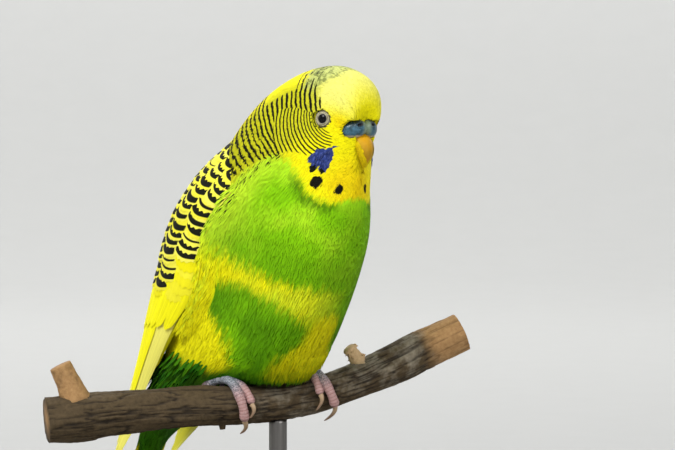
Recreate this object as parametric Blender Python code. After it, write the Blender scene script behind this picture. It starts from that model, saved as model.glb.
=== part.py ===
"""A life-size adult budgerigar on a short cut length of branch, held by a plain display stand.

Sizes are in millimetres in the bird's own frame until MM turns them into metres: X is the bird's
left, -Y is where it faces, Z is up, and zero is the top of the perch midway between its feet.
"""
import math
import random

import bmesh
import bpy
import numpy as np
from mathutils import Matrix, Vector

MM = 0.001
# What touching pieces keep between them
GAP = 0.32
RANDOM_SEED = 7

# Where the top of the perch stands in the part's own frame, whose origin is under the middle of the base
PERCH_TOP = 67.0
PERCH_Y = -12.0

# The body from the face to the tail root. Each row is one slanted section: the foot of the section on
# the breast side (y, z), its head on the back side (y, z), its half width, and how far its widest
# place lies towards the back
BODY_SECTIONS = (
    ((-41.0, 75.6), (-42.2, 86.8), 2.6, 0.0),
    ((-41.4, 73.8), (-44.6, 91.0), 4.2, 0.45),
    ((-41.2, 71.8), (-44.5, 95.6), 5.4, 0.62),
    ((-40.7, 69.6), (-42.0, 99.6), 7.0, 0.64),
    ((-40.3, 67.4), (-37.3, 102.6), 8.6, 0.54),
    ((-39.9, 65.0), (-30.7, 104.4), 10.6, 0.35),
    ((-39.4, 62.6), (-22.4, 104.0), 12.6, 0.20),
    ((-38.9, 60.2), (-13.7, 101.8), 14.8, 0.16),
    ((-38.5, 57.6), (-4.7, 97.6), 17.0, 0.16),
    ((-38.2, 54.0), (3.8, 91.6), 19.2, 0.14),
    ((-37.4, 49.2), (11.9, 83.6), 21.2, 0.10),
    ((-36.0, 43.2), (19.7, 74.1), 22.3, 0.08),
    ((-33.3, 36.4), (26.8, 63.6), 22.7, 0.06),
    ((-29.4, 28.4), (33.1, 52.3), 22.7, 0.04),
    ((-24.6, 20.4), (38.6, 40.6), 22.5, 0.0),
    ((-18.9, 12.0), (43.6, 28.8), 22.2, -0.04),
    ((-11.5, 4.4), (48.0, 17.0), 21.6, -0.08),
    ((0.2, -0.2), (52.0, 5.6), 20.2, -0.05),
    ((15.0, -4.0), (56.0, -4.0), 17.8, 0.0),
    ((32.0, -8.6), (60.3, -11.6), 14.2, 0.0),
    ((48.0, -14.5), (65.0, -18.5), 9.6, 0.0),
    ((60.0, -22.0), (69.4, -25.4), 6.0, 0.0),
)
# The rings that are built: close together on the head, a section apart on the body
BODY_PLACES = tuple(np.arange(0.0, 8.0, 0.5)) + tuple(np.arange(8.0, 21.01, 1.0))
BODY_SIDES = 30
FACE_BULGE = 0.6
HEAD_CUT = 7.4
NECK_CUT = 10.4

# The tail: its axis starts inside the body and falls at the tail's own pitch
TAIL_ROOT = Vector((0.0, 60.8, -14.4))
TAIL_PITCH = math.radians(59.0)
TAIL_LENGTH = 54.4
TAIL_PAIRS = (1.0, 0.82, 0.71, 0.62, 0.54, 0.47)
TAIL_FEATHER_HALF, TAIL_FEATHER_THICK = 2.6, 0.8
TAIL_SPREAD_ROOT, TAIL_SPREAD_TIP, TAIL_STACK = 0.55, 0.62, 0.42
TAIL_FEATHER_ROOT, TAIL_TOP_LEVEL, TAIL_TWIST = 0.12, 0.9, 0.08
TAIL_ROOT_SHIFT, TAIL_TIP_SHIFT = 0.8, 1.1
# The core under the tail feathers: place along the tail, half width and half depth
TAIL_CORE = ((0.0, 5.4, 4.6), (0.126, 5.4, 3.4), (0.252, 4.6, 2.0), (0.42, 3.0, 0.7))
TAIL_CORE_SIDES, TAIL_CORE_DROP = 16, 0.8

# The folded wing, on the bird's left, from the shoulder to the tip: its front edge and its back edge
WING_FRONT = (
    (18.6, -4.0, 68.5),
    (23.0, 1.6, 60.5),
    (25.0, 7.2, 50.5),
    (25.4, 10.2, 40.5),
    (25.0, 13.2, 30.5),
    (23.8, 21.6, 20.5),
    (22.4, 31.4, 10.8),
    (20.2, 40.8, 1.2),
    (17.6, 49.0, -8.0),
    (14.6, 56.0, -18.0),
    (12.4, 66.0, -28.0),
)
WING_BACK = (
    (11.0, 8.0, 80.5),
    (11.6, 19.6, 71.5),
    (11.0, 28.6, 61.0),
    (9.8, 36.8, 49.6),
    (8.4, 43.8, 38.0),
    (7.4, 49.6, 26.4),
    (7.2, 54.6, 14.8),
    (7.6, 59.6, 3.2),
    (8.4, 65.0, -8.0),
    (9.2, 70.6, -18.6),
    (10.6, 76.4, -30.6),
)
# How far the wing's outer face bows out, and how thick the wing is there
WING_ARCH = (2.4, 5.2, 7.6, 8.6, 8.4, 7.2, 5.4, 3.8, 2.6, 1.6, 0.5)
WING_THICKNESS = (4.0, 7.6, 9.0, 9.0, 8.6, 7.4, 5.6, 4.0, 2.8, 1.8, 1.0)
WING_CORE_END, WING_CORE_TAPER = 0.88, 0.66
WING_CORE_ROWS, WING_CORE_COLUMNS = 17, 8
# How much of its width the core loses at its end, at the front and at the back
WING_CORE_TRIM = (0.22, 0.32)
WING_BOW_POWER, WING_BELLY_POWER = 0.75, 0.5
# Tiers of coverts: count, where their roots and tips lie along the wing, and how far their tips stand out
COVERT_TIERS = (
    (3, 0.01, 0.150, 0.9),
    (4, 0.09, 0.240, 1.0),
    (5, 0.18, 0.330, 1.0),
    (5, 0.27, 0.425, 1.0),
    (6, 0.35, 0.540, 1.1),
)
COVERT_SINK = 0.8
COVERT_ACROSS = (0.05, 0.97)
COVERT_OVERLAP = 1.14
COVERT_SCATTER = 0.008
# Secondaries and tertials: root place and place across, tip place and place across, and half width
SECONDARIES = (
    (0.47, 0.42, 0.800, 0.52, 3.8),
    (0.47, 0.53, 0.785, 0.61, 3.8),
    (0.46, 0.64, 0.765, 0.70, 3.8),
    (0.45, 0.75, 0.740, 0.79, 3.8),
    (0.43, 0.85, 0.700, 0.87, 3.6),
)
SECONDARY_HEIGHTS = (0.1, 1.3)
# Primaries, the front one first: tip place, then shared roots and spacing across
PRIMARY_TIPS = (0.955, 0.985, 0.995, 0.970, 0.935, 0.890, 0.845)
PRIMARY_ROOT, PRIMARY_ACROSS_ROOT, PRIMARY_STEP_ROOT = 0.50, 0.11, 0.055
PRIMARY_ACROSS_TIP, PRIMARY_STEP_TIP = 0.20, 0.085
PRIMARY_HALF, PRIMARY_THICK, PRIMARY_LEVEL, PRIMARY_LIFT = 2.7, 0.9, 0.1, 0.13
# A vane's outline: share of the way to the tip and share of the half width
COVERT_OUTLINE = ((0.0, 0.75), (0.5, 1.0), (0.82, 0.85), (1.0, 0.32))
FLIGHT_OUTLINE = ((0.0, 0.7), (0.5, 1.0), (0.88, 0.85), (1.0, 0.25))
VANE_CAMBER, VANE_TILT, VANE_RISE_POWER = 0.25, 0.16, 0.8

# The eye and its lid
EYE_DIRECTION_DEG, EYE_TILT_DEG = 67.0, 4.0
EYE_CENTRE = Vector((8.8, -33.3, 87.1))
EYE_RADIUS = 2.8
LID_INNER, LID_OUTER = 2.05, 2.9
SOCKET_REACH = (0.9, 2.4, 5.0)
# The cere's two lobes, the room for them in the face, and their nostrils
CERE_LOBE = Vector((3.1, -41.0, 83.9))
CERE_LOBE_RADII = Vector((4.3, 2.5, 2.9))
CERE_LOBE_TILT_DEG, CERE_LOBE_YAW_DEG = 16.0, 31.0
FACE_BAY_SHIFT, FACE_BAY_GROW = Vector((1.2, -2.6, 0.0)), 0.7
NOSTRIL = Vector((2.7, -43.3, 85.1))
NOSTRIL_RADIUS, NOSTRIL_DEPTH = 0.65, 1.1
# The bill: middle line, half widths and half depths
BILL_PATH = (
    (0, -37.5, 80.0),
    (0, -39.9, 80.2),
    (0, -41.7, 79.4),
    (0, -42.6, 77.6),
    (0, -42.8, 75.7),
    (0, -42.6, 74.0),
    (0, -42.3, 72.7),
    (0, -41.9, 71.6),
)
BILL_WIDTHS = (3.3, 3.5, 3.5, 3.3, 2.8, 2.0, 1.2, 0.4)
BILL_DEPTHS = (2.4, 2.6, 2.5, 2.2, 1.9, 1.4, 0.9, 0.3)
LOWER_BILL_PATH = ((0, -37.2, 75.4), (0, -38.8, 74.7), (0, -40.1, 73.7), (0, -41.0, 72.7))
LOWER_BILL_WIDTHS = (2.7, 2.5, 2.0, 1.0)
LOWER_BILL_FLATNESS = 0.6

# The perch: its middle line in its own frame, along and up, and its radius there
PERCH_YAW_DEG = 30.0
PERCH_LINE = (
    (-77.0, -11.6, 7.6),
    (-66.0, -10.6, 8.0),
    (-55.0, -9.4, 7.4),
    (-44.0, -8.6, 7.0),
    (-30.0, -7.9, 6.8),
    (-15.0, -7.4, 6.6),
    (0.0, -6.5, 6.3),
    (12.0, -4.4, 6.0),
    (24.0, -0.9, 5.9),
    (36.0, 3.9, 6.5),
    (50.0, 10.4, 6.8),
    (62.0, 16.0, 6.6),
)
PERCH_SIDES, PERCH_RINGS = 16, 20
BARK_WAVES = ((3, 0.03, 0.11), (5, 0.02, -0.23))
# The stubs on it: where they grow, then for each point how high, how far along, and its radius
TWIG_STUBS = (
    ("fork_stub", -66.0, 12, ((0, 0, 6.8), (5, -1.5, 5.6), (10.5, -3.4, 4.2), (17, -6.6, 3.6))),
    ("knob_stub", 27.0, 8, ((3, 0, 2.8), (7.4, -1, 1.9), (10.2, -2.6, 1.4))),
    ("bud_stub", -19.0, 8, ((-4, 0, 1.8), (-7.8, 0.4, 0.9))),
)

# The feet. For each: where its toes meet along the perch, and for each toe where it ends along the perch,
# how far round it reaches, its share of the toe radius, and how far round the claw goes and how far along
TOE_RADIUS, TARSUS_RADIUS = 1.55, 1.7
FEET = {
    1: (13.0, (
        ("outer_front", 16.6, 2.20, 1.0, 0.62, -2.4),
        ("inner_front", 12.8, 1.50, 0.88, 0.55, -1.2),
        ("outer_back", 18.0, -1.75, 1.0, -0.55, 0.6),
        ("inner_back", 12.4, -1.20, 0.85, -0.45, -0.4),
    )),
    -1: (-17.6, (
        ("outer_front", -12.9, 2.15, 1.0, 0.62, 0.4),
        ("inner_front", -10.6, 1.48, 0.88, 0.50, 0.5),
        ("outer_back", -24.6, -1.55, 1.0, -0.55, -0.6),
        ("inner_back", -17.2, -1.25, 0.85, -0.45, 0.4),
    )),
}
TOE_STEPS, TOE_SIDES, CLAW_STEPS, CLAW_SIDES = 8, 8, 4, 7
TOE_CLEAR = GAP + 0.25
# How the toes leave the tarsus, how their pads swell, and how thick their ends are
TOE_SPREAD_POWER, TOE_PAD, TOE_END = 1.6, 0.09, 0.8
HUB_TURN, HUB_RAISE = -0.12, 0.5
SHIN_STEPS = ((0.0, 0.0), (1.8, 2.4), (4.8, 8.0))
CLAW_HOOK, CLAW_ROOT, CLAW_POINT = 1.2, 0.62, 0.09
THIGH_RADII = (6.0, 7.0, 9.6)
THIGH_PLACE = Vector((-1.5, 4.2, 9.8))
THIGH_LEAN_DEG = -20.0

# The stand
BASE_RADIUS, BASE_HEIGHT, BASE_BEVEL, BASE_SIDES = 58.0, 8.0, 1.2, 48
ROD_RADIUS, ROD_SIDES = 3.0, 20
SHARP_EDGE_DEG = 40.0


def colour_material(name, rgb, roughness, metallic=0.0):
    """A Principled material of one colour."""
    material = bpy.data.materials.new(name)
    material.use_nodes = True
    shader = material.node_tree.nodes["Principled BSDF"]
    shader.inputs["Base Color"].default_value = (*rgb, 1.0)
    shader.inputs["Roughness"].default_value = roughness
    shader.inputs["Metallic"].default_value = metallic
    return material


def clear_scene():
    for old in list(bpy.data.objects):
        bpy.data.objects.remove(old)


def add_object(name, points, faces, material=None):
    """An object from points in millimetres in the bird's frame, with its faces turned outwards."""
    mesh = bpy.data.meshes.new(name)
    mesh.from_pydata([tuple(MM * c for c in p) for p in points], [], faces)
    work = bmesh.new()
    work.from_mesh(mesh)
    bmesh.ops.recalc_face_normals(work, faces=work.faces)
    work.to_mesh(mesh)
    work.free()
    mesh.shade_smooth()
    mesh.set_sharp_from_angle(angle=math.radians(SHARP_EDGE_DEG))
    if material:
        mesh.materials.append(material)
    made = bpy.data.objects.new(name, mesh)
    made.location = (0.0, PERCH_Y * MM, PERCH_TOP * MM)
    bpy.context.scene.collection.objects.link(made)
    return made


def loft(rings, first_tip=None, last_tip=None):
    """Points and triangles of a closed skin over rings of equal length, each end filled to its middle."""
    count = len(rings[0])
    points = [tuple(p) for ring in rings for p in ring]
    faces = []
    for r in range(len(rings) - 1):
        for k in range(count):
            a, b = r * count + k, r * count + (k + 1) % count
            faces += [(a, b, b + count), (a, b + count, a + count)]
    for ring, tip, order in ((0, first_tip, 1), (len(rings) - 1, last_tip, -1)):
        middle = tip if tip is not None else np.mean(np.array(rings[ring]), axis=0)
        points.append(tuple(middle))
        hub = len(points) - 1
        for k in range(count):
            rim = (ring * count + k, ring * count + (k + 1) % count)
            faces.append((hub, *rim[::-order]))
    return points, faces


def smooth_table(rows, places):
    """Rows of numbers read at fractional places along a smooth curve through them."""
    table = np.array(rows, float)
    last = len(table) - 1
    read = []
    for place in places:
        i = min(max(int(math.floor(place)), 0), last - 1)
        t = place - i
        before = table[i - 1] if i > 0 else 2 * table[0] - table[1]
        after = table[i + 2] if i + 2 <= last else 2 * table[last] - table[last - 1]
        a, b = table[i], table[i + 1]
        read.append(
            a
            + 0.5 * t * (b - before)
            + t * t * (before - 2.5 * a + 2 * b - 0.5 * after)
            + t * t * t * (1.5 * (a - b) + 0.5 * (after - before))
        )
    return np.array(read)


def body_rings(grow=0.0):
    """Rings of the body's surface from the face to the tail root, moved outwards by grow."""
    rows = [(*foot, *head, half, skew) for foot, head, half, skew in BODY_SECTIONS]
    rings = []
    for foot_y, foot_z, head_y, head_z, half, skew in smooth_table(rows, BODY_PLACES):
        middle = np.array([(foot_y + head_y) / 2, (foot_z + head_z) / 2])
        up = np.array([head_y - foot_y, head_z - foot_z])
        length = np.linalg.norm(up)
        up /= length
        ring = []
        for k in range(BODY_SIDES):
            turn = 2 * math.pi * k / BODY_SIDES
            rise = -math.cos(turn)
            side = math.sin(turn) * (1 + skew * rise)
            y, z = middle + up * rise * (length / 2 + grow)
            ring.append((side * (half + grow), y, z))
        rings.append(np.array(ring))
    return rings


def body_shape(name, grow=0.0):
    """The whole body from face to tail root as one closed form."""
    rings = body_rings(grow)
    face = rings[0].mean(axis=0) + np.array([0.0, -FACE_BULGE - grow, 0.0])
    rear = rings[-1].mean(axis=0) + grow * np.array([0.0, 0.5, -0.87])
    return add_object(name, *loft(rings, face, rear))


def section_plane(place):
    """A point on the plane of a body section, and its normal towards the tail."""
    rows = [(*foot, *head) for foot, head, _, _ in BODY_SECTIONS]
    foot_y, foot_z, head_y, head_z = smooth_table(rows, [place])[0]
    normal = Vector((0.0, head_z - foot_z, foot_y - head_y)).normalized()
    return Vector((0.0, (foot_y + head_y) / 2, (foot_z + head_z) / 2)), normal


def cut_by_plane(obj, point, normal):
    """Removes what lies on the side of the plane that its normal points to, and closes the cut."""
    work = bmesh.new()
    work.from_mesh(obj.data)
    everything = list(work.verts) + list(work.edges) + list(work.faces)
    cut = bmesh.ops.bisect_plane(
        work, geom=everything, dist=1e-7, plane_co=point * MM, plane_no=normal, clear_outer=True
    )
    rim = [e for e in cut["geom_cut"] if isinstance(e, bmesh.types.BMEdge)]
    bmesh.ops.contextual_create(work, geom=rim)
    bmesh.ops.triangulate(work, faces=[f for f in work.faces if len(f.verts) > 4])
    bmesh.ops.recalc_face_normals(work, faces=work.faces)
    work.to_mesh(obj.data)
    work.free()


def bake_modifiers(obj):
    """Turns what the modifiers make into the object's own mesh."""
    graph = bpy.context.evaluated_depsgraph_get()
    made = bpy.data.meshes.new_from_object(obj.evaluated_get(graph))
    old = obj.data
    obj.modifiers.clear()
    obj.data = made
    made.name = obj.name
    bpy.data.meshes.remove(old)


def keep_largest(obj):
    """Leaves only the closed surface that holds the most."""
    work = bmesh.new()
    work.from_mesh(obj.data)
    left, shells = set(work.faces), []
    while left:
        shell, todo = set(), [left.pop()]
        while todo:
            face = todo.pop()
            shell.add(face)
            for edge in face.edges:
                for other in edge.link_faces:
                    if other in left:
                        left.discard(other)
                        todo.append(other)
        shells.append(shell)
    if len(shells) > 1:
        sizes = [sum(f.calc_center_median().dot(f.normal) * f.calc_area() for f in s) for s in shells]
        keep = shells[sizes.index(max(sizes))]
        bmesh.ops.delete(work, geom=[f for f in work.faces if f not in keep], context="FACES")
        loose = [v for v in work.verts if not v.link_faces]
        bmesh.ops.delete(work, geom=loose, context="VERTS")
        work.to_mesh(obj.data)
    work.free()


def combine(obj, others):
    """Joins other objects to this one in one union, and removes them."""
    group = bpy.data.collections.new(obj.name + "_pieces")
    for other in others:
        for home in other.users_collection:
            home.objects.unlink(other)
        group.objects.link(other)
    bpy.context.scene.collection.children.link(group)
    change = obj.modifiers.new("Union", "BOOLEAN")
    change.operation = "UNION"
    change.operand_type = "COLLECTION"
    change.collection = group
    change.solver = "EXACT"
    bake_modifiers(obj)
    for other in others:
        bpy.data.objects.remove(other)
    bpy.data.collections.remove(group)
    keep_largest(obj)
    return obj


def carve(obj, tools):
    """Cuts each tool from the object in turn, and removes it."""
    for tool in tools:
        change = obj.modifiers.new("Cut", "BOOLEAN")
        change.operation = "DIFFERENCE"
        change.object = tool
        change.solver = "EXACT"
        bake_modifiers(obj)
        bpy.data.objects.remove(tool)
    keep_largest(obj)
    return obj


def ellipsoid(name, centre, radii, turn=None, segments=16, rings=10, material=None):
    """A ball stretched to three radii and turned, in the bird's frame."""
    points, faces = [], []
    for r in range(1, rings):
        polar = math.pi * r / rings
        for s in range(segments):
            around = 2 * math.pi * s / segments
            points.append(
                (math.sin(polar) * math.cos(around), math.sin(polar) * math.sin(around), math.cos(polar))
            )
    points += [(0.0, 0.0, 1.0), (0.0, 0.0, -1.0)]
    top, low = len(points) - 2, len(points) - 1
    for r in range(rings - 2):
        for s in range(segments):
            a, b = r * segments + s, r * segments + (s + 1) % segments
            faces.append((a, b, b + segments, a + segments))
    last_ring = (rings - 2) * segments
    for s in range(segments):
        onward = (s + 1) % segments
        faces.append((top, onward, s))
        faces.append((low, last_ring + s, last_ring + onward))
    turn = turn or Matrix.Identity(3)
    placed = [centre + turn @ Vector([c * r for c, r in zip(p, radii)]) for p in points]
    return add_object(name, placed, faces, material)


def path_frames(path):
    """Point, side and up vectors along a path, carried without twist."""
    path = [Vector(p) for p in path]
    frames = []
    up = None
    for i, point in enumerate(path):
        tangent = (path[min(i + 1, len(path) - 1)] - path[max(i - 1, 0)]).normalized()
        if up is None:
            up = Vector((0, 0, 1)) if abs(tangent.z) < 0.9 else Vector((0, 1, 0))
        up = (up - tangent * up.dot(tangent)).normalized()
        frames.append((point, tangent.cross(up), up))
    return frames


def tube(name, path, widths, sides, material=None, depths=None):
    """A closed tube along a path, from its half widths and, where they differ, its half depths."""
    rings = []
    for (point, side, up), wide, deep in zip(path_frames(path), widths, depths or widths):
        ring = []
        for k in range(sides):
            turn = 2 * math.pi * k / sides
            ring.append(point + side * wide * math.cos(turn) + up * deep * math.sin(turn))
        rings.append(ring)
    return add_object(name, *loft(rings), material)


def lathe(name, profile, centre, axis, sides, material=None):
    """A closed solid turned about an axis. The profile is (radius, height) pairs in a closed loop."""
    side = axis.orthogonal().normalized()
    other = axis.cross(side)
    points, faces = [], []
    for radius, height in profile:
        for k in range(sides):
            turn = 2 * math.pi * k / sides
            points.append(centre + axis * height + (side * math.cos(turn) + other * math.sin(turn)) * radius)
    rows = len(profile)
    for r in range(rows):
        onward = (r + 1) % rows
        for k in range(sides):
            far = (k + 1) % sides
            faces.append((r * sides + k, r * sides + far, onward * sides + far, onward * sides + k))
    return add_object(name, points, faces, material)


def side_of(name, sign):
    return f"{name}_{'left' if sign > 0 else 'right'}"


def mirrored(vector, sign):
    return Vector((vector[0] * sign, vector[1], vector[2]))


def body_parts(materials):
    """Head, neck and torso, cut from one form along slanted section planes."""
    half_gap = GAP / 2
    cuts = {
        "head": (None, HEAD_CUT),
        "neck": (HEAD_CUT, NECK_CUT),
        "torso": (NECK_CUT, None),
    }
    made = {}
    for name, (start, end) in cuts.items():
        piece = body_shape(name)
        if start is not None:
            point, normal = section_plane(start)
            cut_by_plane(piece, point + normal * half_gap, -normal)
        if end is not None:
            point, normal = section_plane(end)
            cut_by_plane(piece, point - normal * half_gap, normal)
        piece.data.materials.append(materials[name])
        made[name] = piece
    return made


def eye_axis(sign):
    turn, tilt = math.radians(EYE_DIRECTION_DEG), math.radians(EYE_TILT_DEG)
    level = math.cos(tilt)
    return mirrored((math.sin(turn) * level, -math.cos(turn) * level, math.sin(tilt)), sign)


def eyeball(sign, grow=0.0, material=None):
    turn = Vector((0, 0, 1)).rotation_difference(eye_axis(sign)).to_matrix()
    radii = [EYE_RADIUS + grow] * 3
    return ellipsoid(side_of("eye", sign), mirrored(EYE_CENTRE, sign), radii, turn, 14, 8, material)


def eyelid(sign, material):
    """The bare ring of skin round the eye."""
    seat = math.sqrt((EYE_RADIUS + GAP) ** 2 - LID_INNER**2)
    deep = math.sqrt((EYE_RADIUS + GAP) ** 2 - LID_OUTER**2)
    profile = [
        (LID_INNER, seat + 0.1),
        ((LID_INNER + LID_OUTER) / 2, seat + 0.2),
        (LID_OUTER, seat - 0.25),
        (LID_OUTER + 0.05, deep + 0.1),
        (LID_OUTER - 0.25, deep + 0.35),
    ]
    return lathe(side_of("eyelid", sign), profile, mirrored(EYE_CENTRE, sign), eye_axis(sign), 18, material)


def eye_socket(sign):
    """What the head leaves free for the eye and its lid: a ball with a drum that opens outwards."""
    axis, centre = eye_axis(sign), mirrored(EYE_CENTRE, sign)
    drum_path = [centre + axis * reach for reach in SOCKET_REACH]
    radii = [LID_OUTER + GAP] * len(drum_path)
    return combine(eyeball(sign, GAP), [tube("socket", drum_path, radii, 18)])


def upper_bill(grow=0.0, material=None):
    """The hooked upper bill, wide at its root under the cere and tapering to a tucked tip."""
    widths = [w + grow for w in BILL_WIDTHS]
    depths = [d + grow for d in BILL_DEPTHS]
    return tube("bill_upper", BILL_PATH, widths, 14, material, depths)


def lower_bill(grow=0.0, material=None):
    """The short lower bill, tucked behind the hook."""
    widths = [w + grow for w in LOWER_BILL_WIDTHS]
    depths = [w * LOWER_BILL_FLATNESS + grow for w in LOWER_BILL_WIDTHS]
    return tube("bill_lower", LOWER_BILL_PATH, widths, 12, material, depths)


def cere_lobe(sign, grow=0.0, material=None, shift=Vector()):
    """One swollen half of the bare cere over the bill."""
    turn = Matrix.Rotation(math.radians(sign * CERE_LOBE_TILT_DEG), 3, "Y") @ Matrix.Rotation(
        math.radians(sign * CERE_LOBE_YAW_DEG), 3, "Z"
    )
    radii = [r + grow for r in CERE_LOBE_RADII]
    return ellipsoid("cere", mirrored(CERE_LOBE + shift, sign), radii, turn, 16, 10, material)


def cere(material):
    """Both lobes as one piece, each with its nostril."""
    made = combine(cere_lobe(1, 0.0, material), [cere_lobe(-1, 0.0, material)])
    holes = []
    for sign in (1, -1):
        mouth = mirrored(NOSTRIL, sign)
        inward = Vector((-sign * 0.25, 1.0, -0.2)).normalized() * NOSTRIL_DEPTH
        radii = [NOSTRIL_RADIUS, NOSTRIL_RADIUS, NOSTRIL_RADIUS * 0.8]
        holes.append(tube("nostril", [mouth - inward, mouth, mouth + inward], radii, 10))
    return carve(made, holes)


def wing_frame(place):
    """The wing's section at a place from 0 at the shoulder to 1 at the tip."""
    where = place * (len(WING_FRONT) - 1)
    front = Vector(smooth_table(WING_FRONT, [where])[0])
    back = Vector(smooth_table(WING_BACK, [where])[0])
    arch, thick = smooth_table(list(zip(WING_ARCH, WING_THICKNESS)), [where])[0]
    ahead, behind = (
        Vector(smooth_table(WING_FRONT, [spot])[0] + smooth_table(WING_BACK, [spot])[0])
        for spot in (where + 0.1, where - 0.1)
    )
    return front, back, arch, thick, (ahead - behind).normalized()


def wing_point(place, across, height):
    """A point of the left wing's outer surface: across runs from the front edge to the back edge."""
    front, back, arch, _, along = wing_frame(place)
    chord = back - front
    out = along.cross(chord).normalized()
    if out.x < 0:
        out = -out
    bow = max(4 * across * (1 - across), 0.0) ** WING_BOW_POWER
    return front + chord * across + out * (arch * bow + height)


def wing_core(name, sign, material):
    """The folded wing under its vanes, as one arched form that narrows towards the tip."""
    rings = []
    for place in np.linspace(0.0, WING_CORE_END, WING_CORE_ROWS):
        thick = wing_frame(place)[3]
        taper = max(place - WING_CORE_TAPER, 0.0) / (WING_CORE_END - WING_CORE_TAPER)
        first, last = WING_CORE_TRIM[0] * taper, 1.0 - WING_CORE_TRIM[1] * taper
        outer, inner = [], []
        for c in range(WING_CORE_COLUMNS + 1):
            share = c / WING_CORE_COLUMNS
            across = first + (last - first) * share
            outer.append(wing_point(place, across, 0.0))
            if 0 < c < WING_CORE_COLUMNS:
                belly = (4 * share * (1 - share)) ** WING_BELLY_POWER
                inner.append(wing_point(place, across, -thick * belly))
        rings.append([mirrored(p, sign) for p in outer + inner[::-1]])
    return add_object(name, *loft(rings), material)


def vane(name, surface, root, tip, half, outline, heights, under, tilt, sign):
    """One feather's vane on a surface. Root and tip are (place, across), heights those of its upper face
    at the root and the tip, and under is how far its lower face lies below the surface, or, where
    negative, below its own upper face."""
    rings = []
    for share, wide in outline:
        place = root[0] + (tip[0] - root[0]) * share
        across = root[1] + (tip[1] - root[1]) * share
        scale = (surface(place, across + 0.05, 0.0) - surface(place, across - 0.05, 0.0)).length / 0.1
        reach = half * wide / scale
        top = heights[0] + (heights[1] - heights[0]) * share**VANE_RISE_POWER
        ring = []
        for step, lift in ((-1, tilt), (0, VANE_CAMBER), (1, -tilt)):
            ring.append(surface(place, across + reach * step, top + lift))
        for step, lift in ((1, -tilt), (0, VANE_CAMBER), (-1, tilt)):
            low = -under if under > 0 else top + lift + under
            ring.append(surface(place, across + reach * step, low))
        rings.append([mirrored(p, sign) for p in ring])
    return add_object(name, *loft(rings))


def wing_vanes(sign):
    """Coverts in tiers, then the secondaries over the primaries, which reach the wing's tip."""
    chance = random.Random(RANDOM_SEED)
    vanes = []
    low, high = COVERT_ACROSS
    for count, root, tip, rise in COVERT_TIERS:
        front, back = wing_frame(tip)[:2]
        half = COVERT_OVERLAP * (back - front).length * (high - low) / count / 2
        for i in range(count):
            across = low + (high - low) * (i + 0.5) / count
            across += chance.uniform(-COVERT_SCATTER, COVERT_SCATTER)
            reach = tip + chance.uniform(-COVERT_SCATTER, COVERT_SCATTER)
            vanes.append(vane(
                "covert", wing_point, (root, across), (reach, across), half, COVERT_OUTLINE,
                (0.0, rise), COVERT_SINK, VANE_TILT, sign,
            ))
    for root, across_root, tip, across_tip, half in SECONDARIES:
        vanes.append(vane(
            "secondary", wing_point, (root, across_root), (tip, across_tip), half, FLIGHT_OUTLINE,
            SECONDARY_HEIGHTS, COVERT_SINK, VANE_TILT, sign,
        ))
    for i, tip in enumerate(PRIMARY_TIPS):
        root = (PRIMARY_ROOT, PRIMARY_ACROSS_ROOT + PRIMARY_STEP_ROOT * i)
        level = PRIMARY_LEVEL + PRIMARY_LIFT * i
        vanes.append(vane(
            "primary", wing_point, root, (tip, PRIMARY_ACROSS_TIP + PRIMARY_STEP_TIP * i), PRIMARY_HALF,
            FLIGHT_OUTLINE, (level, level), -PRIMARY_THICK, VANE_TILT / 2, sign,
        ))
    return vanes


def wing(sign, material):
    made = wing_core(side_of("wing", sign), sign, material)
    combine(made, wing_vanes(sign))
    return carve(made, [body_shape("body_room", GAP)])


def tail_point(place, across, height):
    """A point of the tail: place runs from root to tip, across and height are in millimetres."""
    along = Vector((0.0, math.cos(TAIL_PITCH), -math.sin(TAIL_PITCH)))
    up = Vector((0.0, math.sin(TAIL_PITCH), math.cos(TAIL_PITCH)))
    return TAIL_ROOT + along * place * TAIL_LENGTH + Vector((across, 0.0, 0.0)) + up * height


def tail(material):
    """Six pairs of graduated feathers, the longest pair on top, over a short core."""
    path = [tail_point(place, 0.0, -TAIL_CORE_DROP) for place, _, _ in TAIL_CORE]
    widths = [wide for _, wide, _ in TAIL_CORE]
    depths = [deep for _, _, deep in TAIL_CORE]
    made = tube("tail", path, widths, TAIL_CORE_SIDES, material, depths)
    vanes = []
    for pair, share in enumerate(TAIL_PAIRS):
        for sign in (1, -1):
            root = (TAIL_FEATHER_ROOT, sign * (TAIL_ROOT_SHIFT + TAIL_SPREAD_ROOT * pair))
            tip = (share, sign * (TAIL_TIP_SHIFT + TAIL_SPREAD_TIP * pair))
            level = TAIL_TOP_LEVEL - TAIL_STACK * pair + TAIL_TWIST * sign / 2
            vanes.append(vane(
                "tail_feather", tail_point, root, tip, TAIL_FEATHER_HALF, FLIGHT_OUTLINE,
                (level, level), -TAIL_FEATHER_THICK, TAIL_TWIST * sign, 1,
            ))
    combine(made, vanes)
    return carve(made, [body_shape("body_room", GAP)])


def perch_axis():
    """The level direction of the perch towards its rising end."""
    yaw = math.radians(PERCH_YAW_DEG)
    return Vector((math.cos(yaw), -math.sin(yaw), 0.0))


def perch_at(along):
    """Middle, direction and radius of the perch at a distance along it."""
    table = np.array(PERCH_LINE)
    where = float(np.interp(along, table[:, 0], np.arange(len(table))))
    s, rise, radius = smooth_table(PERCH_LINE, [where])[0]
    ahead, behind = smooth_table(PERCH_LINE, [where + 0.1, where - 0.1])
    level = perch_axis()
    direction = (level * (ahead[0] - behind[0]) + Vector((0, 0, ahead[1] - behind[1]))).normalized()
    return level * s + Vector((0.0, 0.0, rise)), direction, radius


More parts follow.
